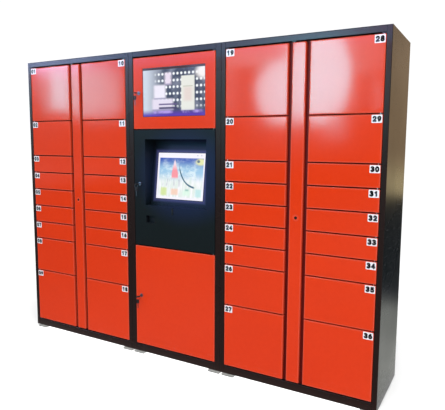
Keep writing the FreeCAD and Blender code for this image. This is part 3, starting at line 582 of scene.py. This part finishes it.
def slab(low, high, round_off, segments=1):
    """Box between two corners with its edges rounded off."""
    part = bmesh.new()
    low, high = Vector(low), Vector(high)
    bmesh.ops.create_cube(part, size=1.0)
    for vertex in part.verts:
        vertex.co = Vector(low[i] + (vertex.co[i] + 0.5) * (high[i] - low[i]) for i in range(3))
    bmesh.ops.bevel(part, geom=part.edges[:], offset=round_off, segments=segments, affect="EDGES")
    return part


def turned(profile, segments):
    """Closed outline of (radius, y) points turned about the Y axis."""
    part = bmesh.new()
    rings = []
    for radius, y in profile:
        if radius < 1e-7:
            rings.append([part.verts.new((0, y, 0))] * segments)
            continue
        turns = [2 * math.pi * i / segments for i in range(segments)]
        rings.append([part.verts.new((radius * math.cos(a), y, radius * math.sin(a))) for a in turns])
    for ring, following in zip(rings, rings[1:] + rings[:1]):
        for i in range(segments):
            j = (i + 1) % segments
            corners = []
            for vertex in (ring[i], ring[j], following[j], following[i]):
                if vertex not in corners:
                    corners.append(vertex)
            if len(corners) > 2:
                part.faces.new(corners)
    return part


def rounded_outline(width, height, radius, steps=6):
    """Points round a rectangle with round corners, centred."""
    points = []
    for cx, cz, start in ((1, 1, 0), (-1, 1, 90), (-1, -1, 180), (1, -1, 270)):
        for i in range(steps + 1):
            angle = math.radians(start + 90 * i / steps)
            points.append((cx * (width / 2 - radius) + radius * math.cos(angle),
                           cz * (height / 2 - radius) + radius * math.sin(angle)))
    return points


def plate(outline, near, far, chamfer=0.0):
    """Outline in X and Z, thick from y near to y far, with its front edge chamfered."""
    part = bmesh.new()
    centre = Vector((sum(p[0] for p in outline), 0, sum(p[1] for p in outline))) / len(outline)
    rows = [(near, chamfer), (near + chamfer, 0.0), (far, 0.0)] if chamfer else [(near, 0.0), (far, 0.0)]
    rings = []
    for y, inset in rows:
        ring = []
        for x, z in outline:
            inward = (centre - Vector((x, 0, z))).normalized() * inset
            ring.append(part.verts.new((x + inward.x, y, z + inward.z)))
        rings.append(ring)
    count = len(outline)
    for ring, following in zip(rings, rings[1:]):
        for i in range(count):
            j = (i + 1) % count
            part.faces.new((ring[i], ring[j], following[j], following[i]))
    part.faces.new(rings[0])
    part.faces.new(rings[-1][::-1])
    return part


def washer_plate(outer, hole, near, far, edge):
    """Plate with one hole: both outlines have the same number of points; edges are rounded over."""
    part = bmesh.new()
    count = len(outer)
    rows = [(near + edge, outer, 0.0), (near, outer, edge), (near, hole, -edge), (near + edge, hole, 0.0),
            (far - edge, hole, 0.0), (far, hole, -edge), (far, outer, edge), (far - edge, outer, 0.0)]
    middle = Vector((sum(p[0] for p in hole), 0, sum(p[1] for p in hole))) / count
    rings = []
    for y, points, inset in rows:
        ring = []
        for x, z in points:
            inward = (middle - Vector((x, 0, z))).normalized() * inset
            ring.append(part.verts.new((x + inward.x, y, z + inward.z)))
        rings.append(ring)
    for ring, following in zip(rings, rings[1:] + rings[:1]):
        for i in range(count):
            j = (i + 1) % count
            part.faces.new((ring[i], ring[j], following[j], following[i]))
    return part


# --------------- number labels

DOORS = 36
PER_COLUMN = 9
LABEL = (0.053, 0.040)
LABEL_IN = 0.0025
FIGURES = (0.045, 0.0300)
LABEL_THICK = 0.0003


def arc(centre, size, start, end, steps=14):
    """Points along part of an oval, angles in degrees."""
    turns = [math.radians(start + (end - start) * i / steps) for i in range(steps + 1)]
    return [(centre[0] + size[0] * math.cos(a), centre[1] + size[1] * math.sin(a)) for a in turns]


# Strokes of the figures on a grid one wide and one and a half high
STROKES = {
    "0": [arc((0.5, 0.75), (0.5, 0.75), 90, 450, 24)],
    "1": [[(0.12, 1.16), (0.56, 1.5), (0.56, 0.0)]],
    "2": [arc((0.49, 1.03), (0.47, 0.47), 165, -25) + [(0.04, 0.0), (1.0, 0.0)]],
    "3": [arc((0.46, 1.13), (0.45, 0.37), 150, -90), arc((0.46, 0.38), (0.52, 0.38), 90, -150)],
    "4": [[(0.76, 0.0), (0.76, 1.5), (0.0, 0.42), (1.04, 0.42)]],
    "5": [[(0.93, 1.5), (0.18, 1.5), (0.10, 0.80)] + arc((0.47, 0.47), (0.50, 0.47), 135, -150)],
    "6": [arc((0.5, 0.46), (0.48, 0.46), 180, 540, 20), arc((0.98, 0.50), (0.96, 1.0), 180, 108)],
    "7": [[(0.0, 1.5), (1.0, 1.5), (0.36, 0.0)]],
    "8": [arc((0.5, 1.13), (0.41, 0.37), 90, 450, 20), arc((0.5, 0.38), (0.50, 0.38), 90, 450, 20)],
    "9": [arc((0.5, 1.04), (0.48, 0.46), 0, 360, 20), arc((0.02, 1.0), (0.96, 1.0), 0, -72)],
}
FIGURE_HEIGHT = 1.5
STROKE_HALF = 0.33
FIGURE_PITCH = 1.80
INK_HALF = 0.00008


def stroke(points, half, near, far):
    """Flat band with round ends that follows points in X and Z."""
    part = bmesh.new()
    ends = 8
    for a, b in zip(points, points[1:]):
        heading = math.atan2(b[1] - a[1], b[0] - a[0])
        outline = []
        for centre, start in ((b, heading - math.pi / 2), (a, heading + math.pi / 2)):
            for i in range(ends + 1):
                angle = start + math.pi * i / ends
                outline.append((centre[0] + half * math.cos(angle), centre[1] + half * math.sin(angle)))
        front = [part.verts.new((x, near, z)) for x, z in outline]
        back = [part.verts.new((x, far, z)) for x, z in outline]
        part.faces.new(front)
        part.faces.new(back[::-1])
        for i in range(len(outline)):
            j = (i + 1) % len(outline)
            part.faces.new((front[i], back[i], back[j], front[j]))
    return part


def figures(text):
    """Heavy figures for the front of a label, closed and thin, centred."""
    whole = bmesh.new()
    width = FIGURE_PITCH * (len(text) - 1) + 1.0 + 2 * STROKE_HALF
    scale = Matrix.Diagonal((FIGURES[0] / width, 1.0, FIGURES[1] / (FIGURE_HEIGHT + 2 * STROKE_HALF), 1.0))
    for place, figure in enumerate(text):
        for points in STROKES[figure]:
            part = stroke(points, STROKE_HALF, -INK_HALF, INK_HALF)
            left = STROKE_HALF + place * FIGURE_PITCH - width / 2
            shift = Matrix.Translation((left, 0.0, -FIGURE_HEIGHT / 2))
            bmesh.ops.transform(part, matrix=scale @ shift, verts=part.verts)
            join(whole, part)
    return whole


for number in range(1, DOORS + 1):
    name = "door_%02d" % number
    low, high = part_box(name)
    on_left = (number - 1) // PER_COLUMN in (0, 2)
    x = low.x + LABEL_IN + LABEL[0] / 2 if on_left else high.x - LABEL_IN - LABEL[0] / 2
    z = high.z - LABEL_IN - LABEL[1] / 2
    place = Matrix.Translation((x, FRONT, z))
    label = Solid(label_film, label_ink)
    label.take(plate(rounded_outline(*LABEL, 0.003), -LABEL_THICK, -0.00002, 0.0001), label_film, place)
    on_film = place @ Matrix.Translation((0, -LABEL_THICK - INK_HALF, 0))
    label.take(figures("%02d" % number), label_ink, on_film)
    label.piece("label_%02d" % number, name, slot="label_plastic")

# --------------- locks and keys

# The keys in the locks are the frontmost part of the CAD model
KEY_REACH = FRONT - cad_box[0].y
GRIP = (0.005, 0.028, 0.020)
GRIP_SQUARENESS = 3.2
GRIP_STEPS = 40
HOLE_R = 0.0026
HOLE_IN = 0.0105
BLADE = (0.0014, 0.0065, 0.034)
RING_R = 0.013
WIRE_R = 0.0009
RING_SLACK = 0.001
PLUG_R = 0.006
CAM_LENGTH = 0.057
CAM_HALF = 0.007
CAM_THICK = 0.0025
CAM_Y = 0.0315
SCREW_R = 0.0045

ALONG_Y = Matrix(((0, 0, 1, 0), (1, 0, 0, 0), (0, 1, 0, 0), (0, 0, 0, 1)))


def key(solid, place):
    """Key along +Y with its ring hole at the origin, flat in X: grip and cut blade with a groove down each
    side.
    """
    thick, length, width = GRIP
    middle = length / 2 - HOLE_IN
    outer = []
    hole = []
    for i in range(GRIP_STEPS):
        angle = 2 * math.pi * i / GRIP_STEPS
        across, up = math.cos(angle), math.sin(angle)
        reach = (abs(across) ** GRIP_SQUARENESS + abs(up) ** GRIP_SQUARENESS) ** (-1 / GRIP_SQUARENESS)
        outer.append((middle + length / 2 * reach * across, width / 2 * reach * up))
        hole.append((HOLE_R * across, HOLE_R * up))
    solid.take(washer_plate(outer, hole, -thick / 2, thick / 2, 0.0008), key_plastic, place @ ALONG_Y)
    start = length - HOLE_IN - 0.0005
    blade_thick, blade_width, blade_length = BLADE
    end = start + blade_length
    half = blade_width / 2
    outline = [(start, -half), (start, half), (end - 0.004, half), (end, 0.0006), (end, -0.0006)]
    cuts = (0.0006, 0.0017, 0.0010, 0.0021, 0.0008, 0.0014)
    for i, depth in enumerate(cuts):
        y = end - 0.0045 - 0.0036 * i
        outline += [(y, -half), (y - 0.0008, -half + depth), (y - 0.0020, -half + depth), (y - 0.0028, -half)]
    solid.take(plate(outline, -blade_thick / 2, blade_thick / 2), key_steel, place @ ALONG_Y)
    for side in (-1, 1):
        groove = slab((side * blade_thick / 2 - 0.00012, start + 0.001, 0.0004),
                      (side * blade_thick / 2 + 0.00012, end - 0.003, 0.0012), 0.00005)
        solid.take(groove, key_steel, place)


def lock_and_keys(x, z):
    """Turning part of a cam lock with its keys, at the lock's place."""
    solid = Solid(lock_chrome, key_steel, key_plastic)
    at = Matrix.Translation((x, FRONT, z))
    face = -0.0030
    plug = [(0.0011, face + 0.0009), (0.0050, face + 0.0002), (0.0056, face), (PLUG_R, face + 0.0005),
            (PLUG_R, CAM_Y), (0.0011, CAM_Y)]
    solid.take(turned(plug, 36), lock_chrome, at)
    # Painted shade: a black block in the plug's face stands for the dark keyway round the key.
    keyhole_shade = slab((-0.0009, face - 0.00005, -0.0036), (0.0009, face + 0.0022, 0.0036), 0.0002, 2)
    solid.take(keyhole_shade, key_plastic, at)
    half, end = CAM_HALF, -CAM_LENGTH
    cam = arc((0.0, 0.0), (half, half), 0, 180, 16)
    cam += [(-half, end + 0.004), (-0.004, end), (0.004, end), (half, end + 0.004)]
    cam_back = CAM_Y + CAM_THICK
    solid.take(plate(cam, CAM_Y, cam_back, 0.0003), key_steel, at)
    screw = arc((0.0, 0.0), (SCREW_R, SCREW_R), 0, 300, 5)
    solid.take(plate(screw, cam_back, cam_back + 0.003), lock_chrome, at)
    hole = at @ Matrix.Translation((0, -KEY_REACH + HOLE_IN, 0))
    key(solid, hole)
    wire = arc((RING_R, 0.0), (WIRE_R, WIRE_R), 0, 324, 9)
    ring_place = hole @ Matrix.Translation((0, 0, -RING_SLACK - RING_R))
    for shift in (-0.55 * WIRE_R, 0.55 * WIRE_R):
        thin = [(r if r > RING_R else RING_R - (RING_R - r) * 0.9, y * 0.52 + shift) for r, y in wire]
        solid.take(turned(thin, 56), key_steel, ring_place)
    hang = Matrix.Translation((0, 0, -2 * (RING_SLACK + RING_R))) @ Matrix.Rotation(math.radians(-90), 4, "X")
    key(solid, hole @ hang)
    return solid


def lock_ring(x, z):
    """Bright collar round a lock, over the flange of its barrel."""
    solid = Solid(lock_chrome)
    profile = [(0.0063, 0.0), (0.0063, -0.0024), (0.0068, -0.0028), (0.0098, -0.0029), (0.0116, -0.0024),
               (0.0123, -0.0012), (0.0124, 0.0)]
    solid.take(turned(profile, 48), lock_chrome, Matrix.Translation((x, FRONT, z)))
    return solid


for name, height in LOCKS.items():
    z = BASE + height
    lock_ring(LOCK_X, z).piece(name + "_lock_collar", name + "_door", slot="lock_chrome")
    lock_and_keys(LOCK_X, z).piece(name + "_lock_keys", name + "_lock_plug", slot="key_steel",
                                   replaces=[name + "_lock_plug"])

# --------------- screens

AD_LOW, AD_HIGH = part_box("ad_monitor")
AD_BORDER = 0.010
AD_CORNER = (AD_LOW.x + AD_BORDER, AD_LOW.z + AD_BORDER)
AD_SIZE = (AD_HIGH.x - AD_LOW.x - 2 * AD_BORDER, AD_HIGH.z - AD_LOW.z - 2 * AD_BORDER)

advert_picture = advert("advert_picture", AD_CORNER, AD_SIZE)
glass_edge = moulded("glass_edge_black", (0.010, 0.010, 0.012), 0.2)


def put_picture(name, body, size, thick, material, place):
    """Lit picture behind glass with a slim black rim; place moves its lower left corner from the origin."""
    width, height = size
    rim = 0.003
    solid = Solid(glass_edge, material)
    outer = [(x + width / 2, z + height / 2) for x, z in rounded_outline(width, height, 0.002, 3)]
    inner = [(x + width / 2, z + height / 2)
             for x, z in rounded_outline(width - 2 * rim, height - 2 * rim, 0.001, 3)]
    solid.take(washer_plate(outer, inner, 0.0, thick, 0.0003), glass_edge, place)
    solid.take(plate(inner, 0.0006, thick - 0.0002), material, place)
    solid.piece(name, body, slot="screen_picture")


gap = 0.0004
advert_size = (AD_SIZE[0] - 2 * gap, AD_SIZE[1] - 2 * gap)
advert_place = Matrix.Translation((AD_CORNER[0] + gap, FRONT + 0.0015, AD_CORNER[1] + gap))
put_picture("advert_panel", "monitor_door", advert_size, 0.0024, advert_picture, advert_place)

TILT = math.radians(7.0)
RECESS_Y = FRONT + 0.0555
RECESS_Z = BASE + 1.012
TOUCH_X = SCREEN_LIMITS[0]
TOUCH_RISE = (0.041, 0.349)
lean = Matrix.Translation((0, RECESS_Y, RECESS_Z)) @ Matrix.Rotation(-TILT, 4, "X")
touch_size = (TOUCH_X[1] - TOUCH_X[0] - 0.0016, TOUCH_RISE[1] - TOUCH_RISE[0] - 0.0016)
touch_place = lean @ Matrix.Translation((TOUCH_X[0] + 0.0008, -0.0012, TOUCH_RISE[0] + 0.0008))
touch_corner = touch_place @ Vector((0, 0, 0))
touch_picture = touch_page("touch_picture", (touch_corner.x, touch_corner.z), touch_size, TILT)
put_picture("touch_panel", "control_door", touch_size, 0.0014, touch_picture, touch_place)

# --------------- inside the control bay


def span(middle, width):
    """Limits of a width about its middle."""
    return middle - width / 2, middle + width / 2


def block(solid, material, x, y, z, round_off=0.0004):
    """Adds a rounded-off box between limits in the three directions."""
    solid.take(slab((x[0], y[0], z[0]), (x[1], y[1], z[1]), round_off), material)


def pin(solid, material, place, radius, length):
    """Adds a round pin along Y that starts at a place."""
    profile = [(0.0, 0.0), (radius - 0.0003, 0.0), (radius, 0.0003), (radius, length), (0.0, length)]
    solid.take(turned(profile, 20), material, Matrix.Translation(place))


def electronics():
    """Control computer with cooling ribs and sockets, and two lock boards with relays and plugs."""
    solid = Solid(electronics_case, circuit_green, coin_black, plug_white, pin_steel)
    low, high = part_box("control_electronics")
    wall = high.y
    side = high.x
    bottom = high.z - 0.220
    block(solid, electronics_case, (-side, side), (wall - 0.048, wall), (bottom + 0.0015, high.z), 0.002)
    ribs = (bottom + 0.008, high.z - 0.006)
    for i in range(21):
        x = (side - 0.010) * (i / 10 - 1)
        block(solid, electronics_case, span(x, 0.0036), (wall - 0.058, wall - 0.0475), ribs)
    for i, wide in enumerate((0.008, 0.016, 0.016, 0.013, 0.013, 0.030, 0.011)):
        x = -0.099 + 0.033 * i
        opening = (bottom - 0.0001, bottom + 0.003)
        block(solid, pin_steel, span(x, wide), (wall - 0.034, wall - 0.020), (bottom, bottom + 0.003))
        block(solid, coin_black, span(x, wide - 0.0024), (wall - 0.0325, wall - 0.0215), opening, 0.0001)
    board = wall - 0.0099
    for base in (low.z, low.z + 0.140):
        sheet = (wall - 0.0100, wall - 0.0084)
        block(solid, circuit_green, (low.x, low.x + 0.300), sheet, (base, base + 0.112), 0.0002)
        for x in (low.x + 0.006, low.x + 0.294):
            for z in (base + 0.006, base + 0.106):
                pin(solid, pin_steel, (x, wall - 0.0124, z), 0.0032, 0.0124)
        for i in range(12):
            x = low.x + 0.0235 + 0.023 * i
            relay = (base + 0.074, base + 0.096)
            plug = (base + 0.003, base + 0.013)
            lamp = (base + 0.030, base + 0.038)
            block(solid, coin_black, span(x, 0.016), (wall - 0.0255, board), relay)
            block(solid, plug_white, span(x, 0.015), (wall - 0.0210, board), plug)
            block(solid, pin_steel, span(x, 0.002), (wall - 0.0125, board), lamp, 0.0002)
        chip = (base + 0.044, base + 0.064)
        block(solid, coin_black, (low.x + 0.130, low.x + 0.158), (wall - 0.0125, board), chip)
    solid.piece("control_electronics_parts", "cabinet", slot="electronics_case",
                replaces=["control_electronics"])


def supply():
    """Power supply with a slotted cover and screw terminals, and the mains inlet in the back panel."""
    solid = Solid(supply_case, coin_black, pin_steel, electronics_case)
    low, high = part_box("power_supply")
    wall = BACK - 0.0015
    right = low.x + 0.215
    bottom = high.z - 0.114
    block(solid, supply_case, (low.x, right), (wall - 0.0494, wall), (bottom + 0.024, high.z), 0.001)
    block(solid, supply_case, (low.x, right), (wall - 0.0300, wall), (bottom, bottom + 0.0245), 0.0006)
    strip = (bottom + 0.003, bottom + 0.021)
    block(solid, coin_black, (low.x + 0.030, right - 0.030), (wall - 0.0430, wall - 0.0298), strip)
    for i in range(9):
        pin(solid, pin_steel, (low.x + 0.043 + 0.0161 * i, wall - 0.0440, bottom + 0.012), 0.0036, 0.0015)
    # Painted shade: the cover's slots are thin black strips on its face, standing for the dark inside them.
    for i in range(12):
        x = low.x + 0.0195 + 0.016 * i
        for z in (bottom + 0.040, bottom + 0.062, bottom + 0.084):
            block(solid, coin_black, span(x, 0.0028), (wall - 0.0497, wall - 0.0490), (z, z + 0.017), 0.0001)
    at = Matrix.Translation((high.x - 0.025, 0.0, low.z + 0.018))
    shell = rounded_outline(0.044, 0.030, 0.0025)
    solid.take(plate(rounded_outline(0.050, 0.036, 0.003), wall - 0.0020, wall), electronics_case, at)
    solid.take(plate(shell, wall - 0.0280, BACK - 0.0160), coin_black, at)
    opening = rounded_outline(0.024, 0.017, 0.003)
    solid.take(washer_plate(shell, opening, BACK - 0.0161, BACK, 0.0004), electronics_case, at)
    for x, z in ((-0.007, -0.002), (0.0, 0.003), (0.007, -0.002)):
        blade = slab((x - 0.001, BACK - 0.0165, z - 0.002), (x + 0.001, BACK - 0.003, z + 0.002), 0.0003)
        solid.take(blade, pin_steel, at)
    solid.piece("power_supply_parts", "cabinet", slot="supply_case", replaces=["power_supply"])


electronics()
supply()

# --------------- floor, light and camera


def floor():
    """Wide pale floor with faint mottling."""
    g = Graph("floor_pale")
    tone = g.remap(g.noise(0.8, 3.0), 0.3, 0.7)
    base = g.mix(tone, (0.86, 0.86, 0.86), (0.90, 0.90, 0.90))
    roughness = g.remap(g.noise(30.0, 2.0), 0.3, 0.7, 0.72, 0.82)
    normal = g.bump(g.noise(60.0, 3.0), 0.0002)
    material = g.principled(base, roughness, normal, Specular_IOR_Level=0.15)
    mesh = bpy.data.meshes.new("floor")
    half = 26.0
    corners = [(-half, -half, 0), (half, -half, 0), (half, half, 0), (-half, half, 0)]
    mesh.from_pydata(corners, [], [(0, 1, 2, 3)])
    mesh.materials.append(material)
    made = new_object("floor", mesh)


def softbox(name, place, target, size, radiance, colour=None, shape="RECTANGLE"):
    """Flat light at place, turned to target. One with a colour is seen in reflections only."""
    data = bpy.data.lights.new(name, "AREA")
    data.shape = shape
    data.size, data.size_y = size
    data.color = colour or (1, 1, 1)
    data.energy = radiance * math.pi * size[0] * size[1]
    lamp = new_object(name, data)
    lamp.location = place
    lamp.rotation_euler = (Vector(target) - Vector(place)).to_track_quat("-Z", "Y").to_euler()
    lamp.visible_glossy = bool(colour)
    lamp.visible_diffuse = not colour
    lamp.visible_camera = False


def sky(background, ambient, reflected):
    """Even grey surroundings, of one level each for the camera, for diffuse light and in reflections."""
    world = bpy.data.worlds.new("studio")
    bpy.context.scene.world = world
    world.use_nodes = True
    tree = world.node_tree
    tree.nodes.clear()
    path = tree.nodes.new("ShaderNodeLightPath")
    shades = []
    for level in (ambient, background, reflected):
        shade = tree.nodes.new("ShaderNodeBackground")
        shade.inputs["Color"].default_value = (level, level, level, 1)
        shades.append(shade.outputs[0])
    shader = shades[0]
    for ray, other in (("Is Camera Ray", shades[1]), ("Is Glossy Ray", shades[2])):
        mixer = tree.nodes.new("ShaderNodeMixShader")
        tree.links.new(path.outputs[ray], mixer.inputs[0])
        tree.links.new(shader, mixer.inputs[1])
        tree.links.new(other, mixer.inputs[2])
        shader = mixer.outputs[0]
    output = tree.nodes.new("ShaderNodeOutputWorld")
    tree.links.new(shader, output.inputs[0])


def surround(name, corners, shades):
    """Card seen only in reflections, shaded from its lower edge to its upper edge."""
    g = Graph(name + "_shade")
    parts = g.add("ShaderNodeSeparateXYZ", {"Vector": g.add("ShaderNodeTexCoord").outputs["UV"]}).outputs
    colour = shades[0][1]
    for (start, _), (end, following) in zip(shades, shades[1:]):
        colour = g.mix(g.remap(parts[1], start, end, smooth=True), colour, following)
    colour = g.mix(g.remap(g.noise(1.5, 3.0), 0.3, 0.7, 0.0, 0.25), colour, (0.0, 0.0, 0.0))
    emission = g.add("ShaderNodeEmission", {"Color": colour})
    mesh = bpy.data.meshes.new(name)
    mesh.from_pydata(corners, [], [(0, 1, 2, 3)])
    layer = mesh.uv_layers.new()
    for loop, uv in zip(layer.data, ((0, 0), (1, 0), (1, 1), (0, 1))):
        loop.uv = uv
    mesh.materials.append(g.finish(emission.outputs[0]))
    made = new_object(name, mesh)
    made.visible_camera = False
    made.visible_diffuse = False
    made.visible_shadow = False


def sunlight(strength, direction, angle):
    """Distant soft light shining along direction."""
    data = bpy.data.lights.new("daylight", "SUN")
    data.energy = strength
    data.angle = math.radians(angle)
    lamp = new_object("daylight", data)
    lamp.rotation_euler = Vector(direction).to_track_quat("-Z", "Y").to_euler()
    lamp.visible_glossy = False


# Colour of the light from the windows, and how far in front of the origin the ceiling's lights stand
WINDOW = (0.16, 0.85, 1.0)
CEILING_BACK = 6.1


def mirrored(name, across, up, radiance, colour, back=6.0, shape="RECTANGLE"):
    """Light at y = -back whose reflection in the front shows between the limits across and up."""
    eye = camera.location
    reach = (back + FRONT) / (FRONT - eye.y)
    wide = [x + (x - eye.x) * reach for x in across]
    high = [z + (z - eye.z) * reach for z in up]
    x, z = sum(wide) / 2, sum(high) / 2
    softbox(name, (x, -back, z), (x, 0.0, z), (wide[1] - wide[0], high[1] - high[0]), radiance, colour, shape)


# The camera as solved from the door edges: place from the front lower left corner, angles in degrees
CAMERA_FROM_CORNER = (3.1346, -2.5116, 1.4100)
CAMERA_ANGLES = (83.469, -0.467, 28.851)

camera_data = bpy.data.cameras.new("camera")
camera_data.sensor_width = 36.0
camera_data.lens = 39.43
camera_data.shift_x = -0.0247
camera_data.shift_y = -0.0097
camera = new_object("camera", camera_data)
camera.location = Vector((LEFT, FRONT, BASE)) + Vector(CAMERA_FROM_CORNER)
camera.rotation_euler = [math.radians(a) for a in CAMERA_ANGLES]
bpy.context.scene.camera = camera
bpy.context.scene.view_settings.view_transform = "Standard"

floor()
sky(1.05, 0.22, 0.75)
sunlight(3.6, (-0.22, 0.42, -1.0), 60.0)
softbox("fill_right", (3.5, -5.5, 4.6), (0.5, 0.0, 1.8), (4.0, 3.0), 5.4)
mirrored("window_door_01", (-1.06, -0.89), (1.66, 1.96), 34.0, WINDOW)
mirrored("window_door_10", (-0.86, -0.43), (1.62, 1.93), 15.0, WINDOW)
mirrored("window_door_19", (0.575, 0.88), (1.54, 1.89), 27.0, WINDOW, shape="ELLIPSE")
mirrored("window_door_28", (0.76, 1.115), (1.55, 2.06), 32.0, WINDOW, shape="ELLIPSE")
mirrored("haze_door_19", (0.36, 0.80), (1.87, 1.985), 9.0, WINDOW)
mirrored("haze_door_28", (1.105, 1.30), (1.80, 1.985), 6.0, WINDOW)
mirrored("window_low", (0.97, 1.09), (1.46, 1.60), 7.0, WINDOW)
mirrored("window_edge_right", (1.245, 1.265), (1.62, 1.76), 26.0, WINDOW)
mirrored("window_edge_left", (0.395, 0.43), (1.60, 1.92), 12.0, WINDOW)
mirrored("ceiling_left", (-1.50, -0.72), (1.985, 2.50), 60.0, (0.56, 0.56, 1.0), CEILING_BACK)
mirrored("ceiling_middle", (-0.72, 0.35), (1.985, 2.50), 15.0, (0.35, 0.50, 1.0), CEILING_BACK)
mirrored("ceiling_right", (0.35, 1.50), (1.985, 2.50), 14.0, (1.0, 0.41, 0.91), CEILING_BACK)
softbox("under_base", (0.0, FRONT + 0.045, BASE - 0.002), (0.0, FRONT + 0.045, 0.0), (2.60, 0.09), 2.4)
surround("side_wall", [(1.4, 2.4, 0.0), (7.0, 2.4, 0.0), (7.0, 2.4, 6.0), (1.4, 2.4, 6.0)],
         [(0.0, (0.02, 0.03, 0.035)), (0.145, (0.03, 0.035, 0.04)), (0.165, (1.70, 1.35, 0.72)),
          (0.23, (0.96, 0.64, 0.35)), (0.60, (1.00, 0.71, 0.48)), (1.0, (0.64, 0.58, 0.55))])
surround("side_floor", [(1.34, 2.4, 0.004), (7.0, 2.4, 0.004), (7.0, -0.5, 0.004), (1.34, -0.5, 0.004)],
         [(0.0, (0.03, 0.035, 0.045)), (0.10, (0.08, 0.09, 0.11)), (0.35, (0.86, 0.89, 0.82)),
          (0.60, (1.10, 1.12, 1.04)), (0.92, (0.92, 0.94, 0.88)), (1.0, (0.50, 0.53, 0.50))])
surround("front_floor",
         [(-12.0, -0.3, 0.004), (-12.0, -40.0, 0.004), (3.0, -40.0, 0.004), (3.0, -0.3, 0.004)],
         [(0.0, (0.25, 0.25, 0.25)), (0.60, (0.28, 0.28, 0.28)), (0.80, (0.70, 0.70, 0.70)),
          (1.0, (0.85, 0.85, 0.85))])
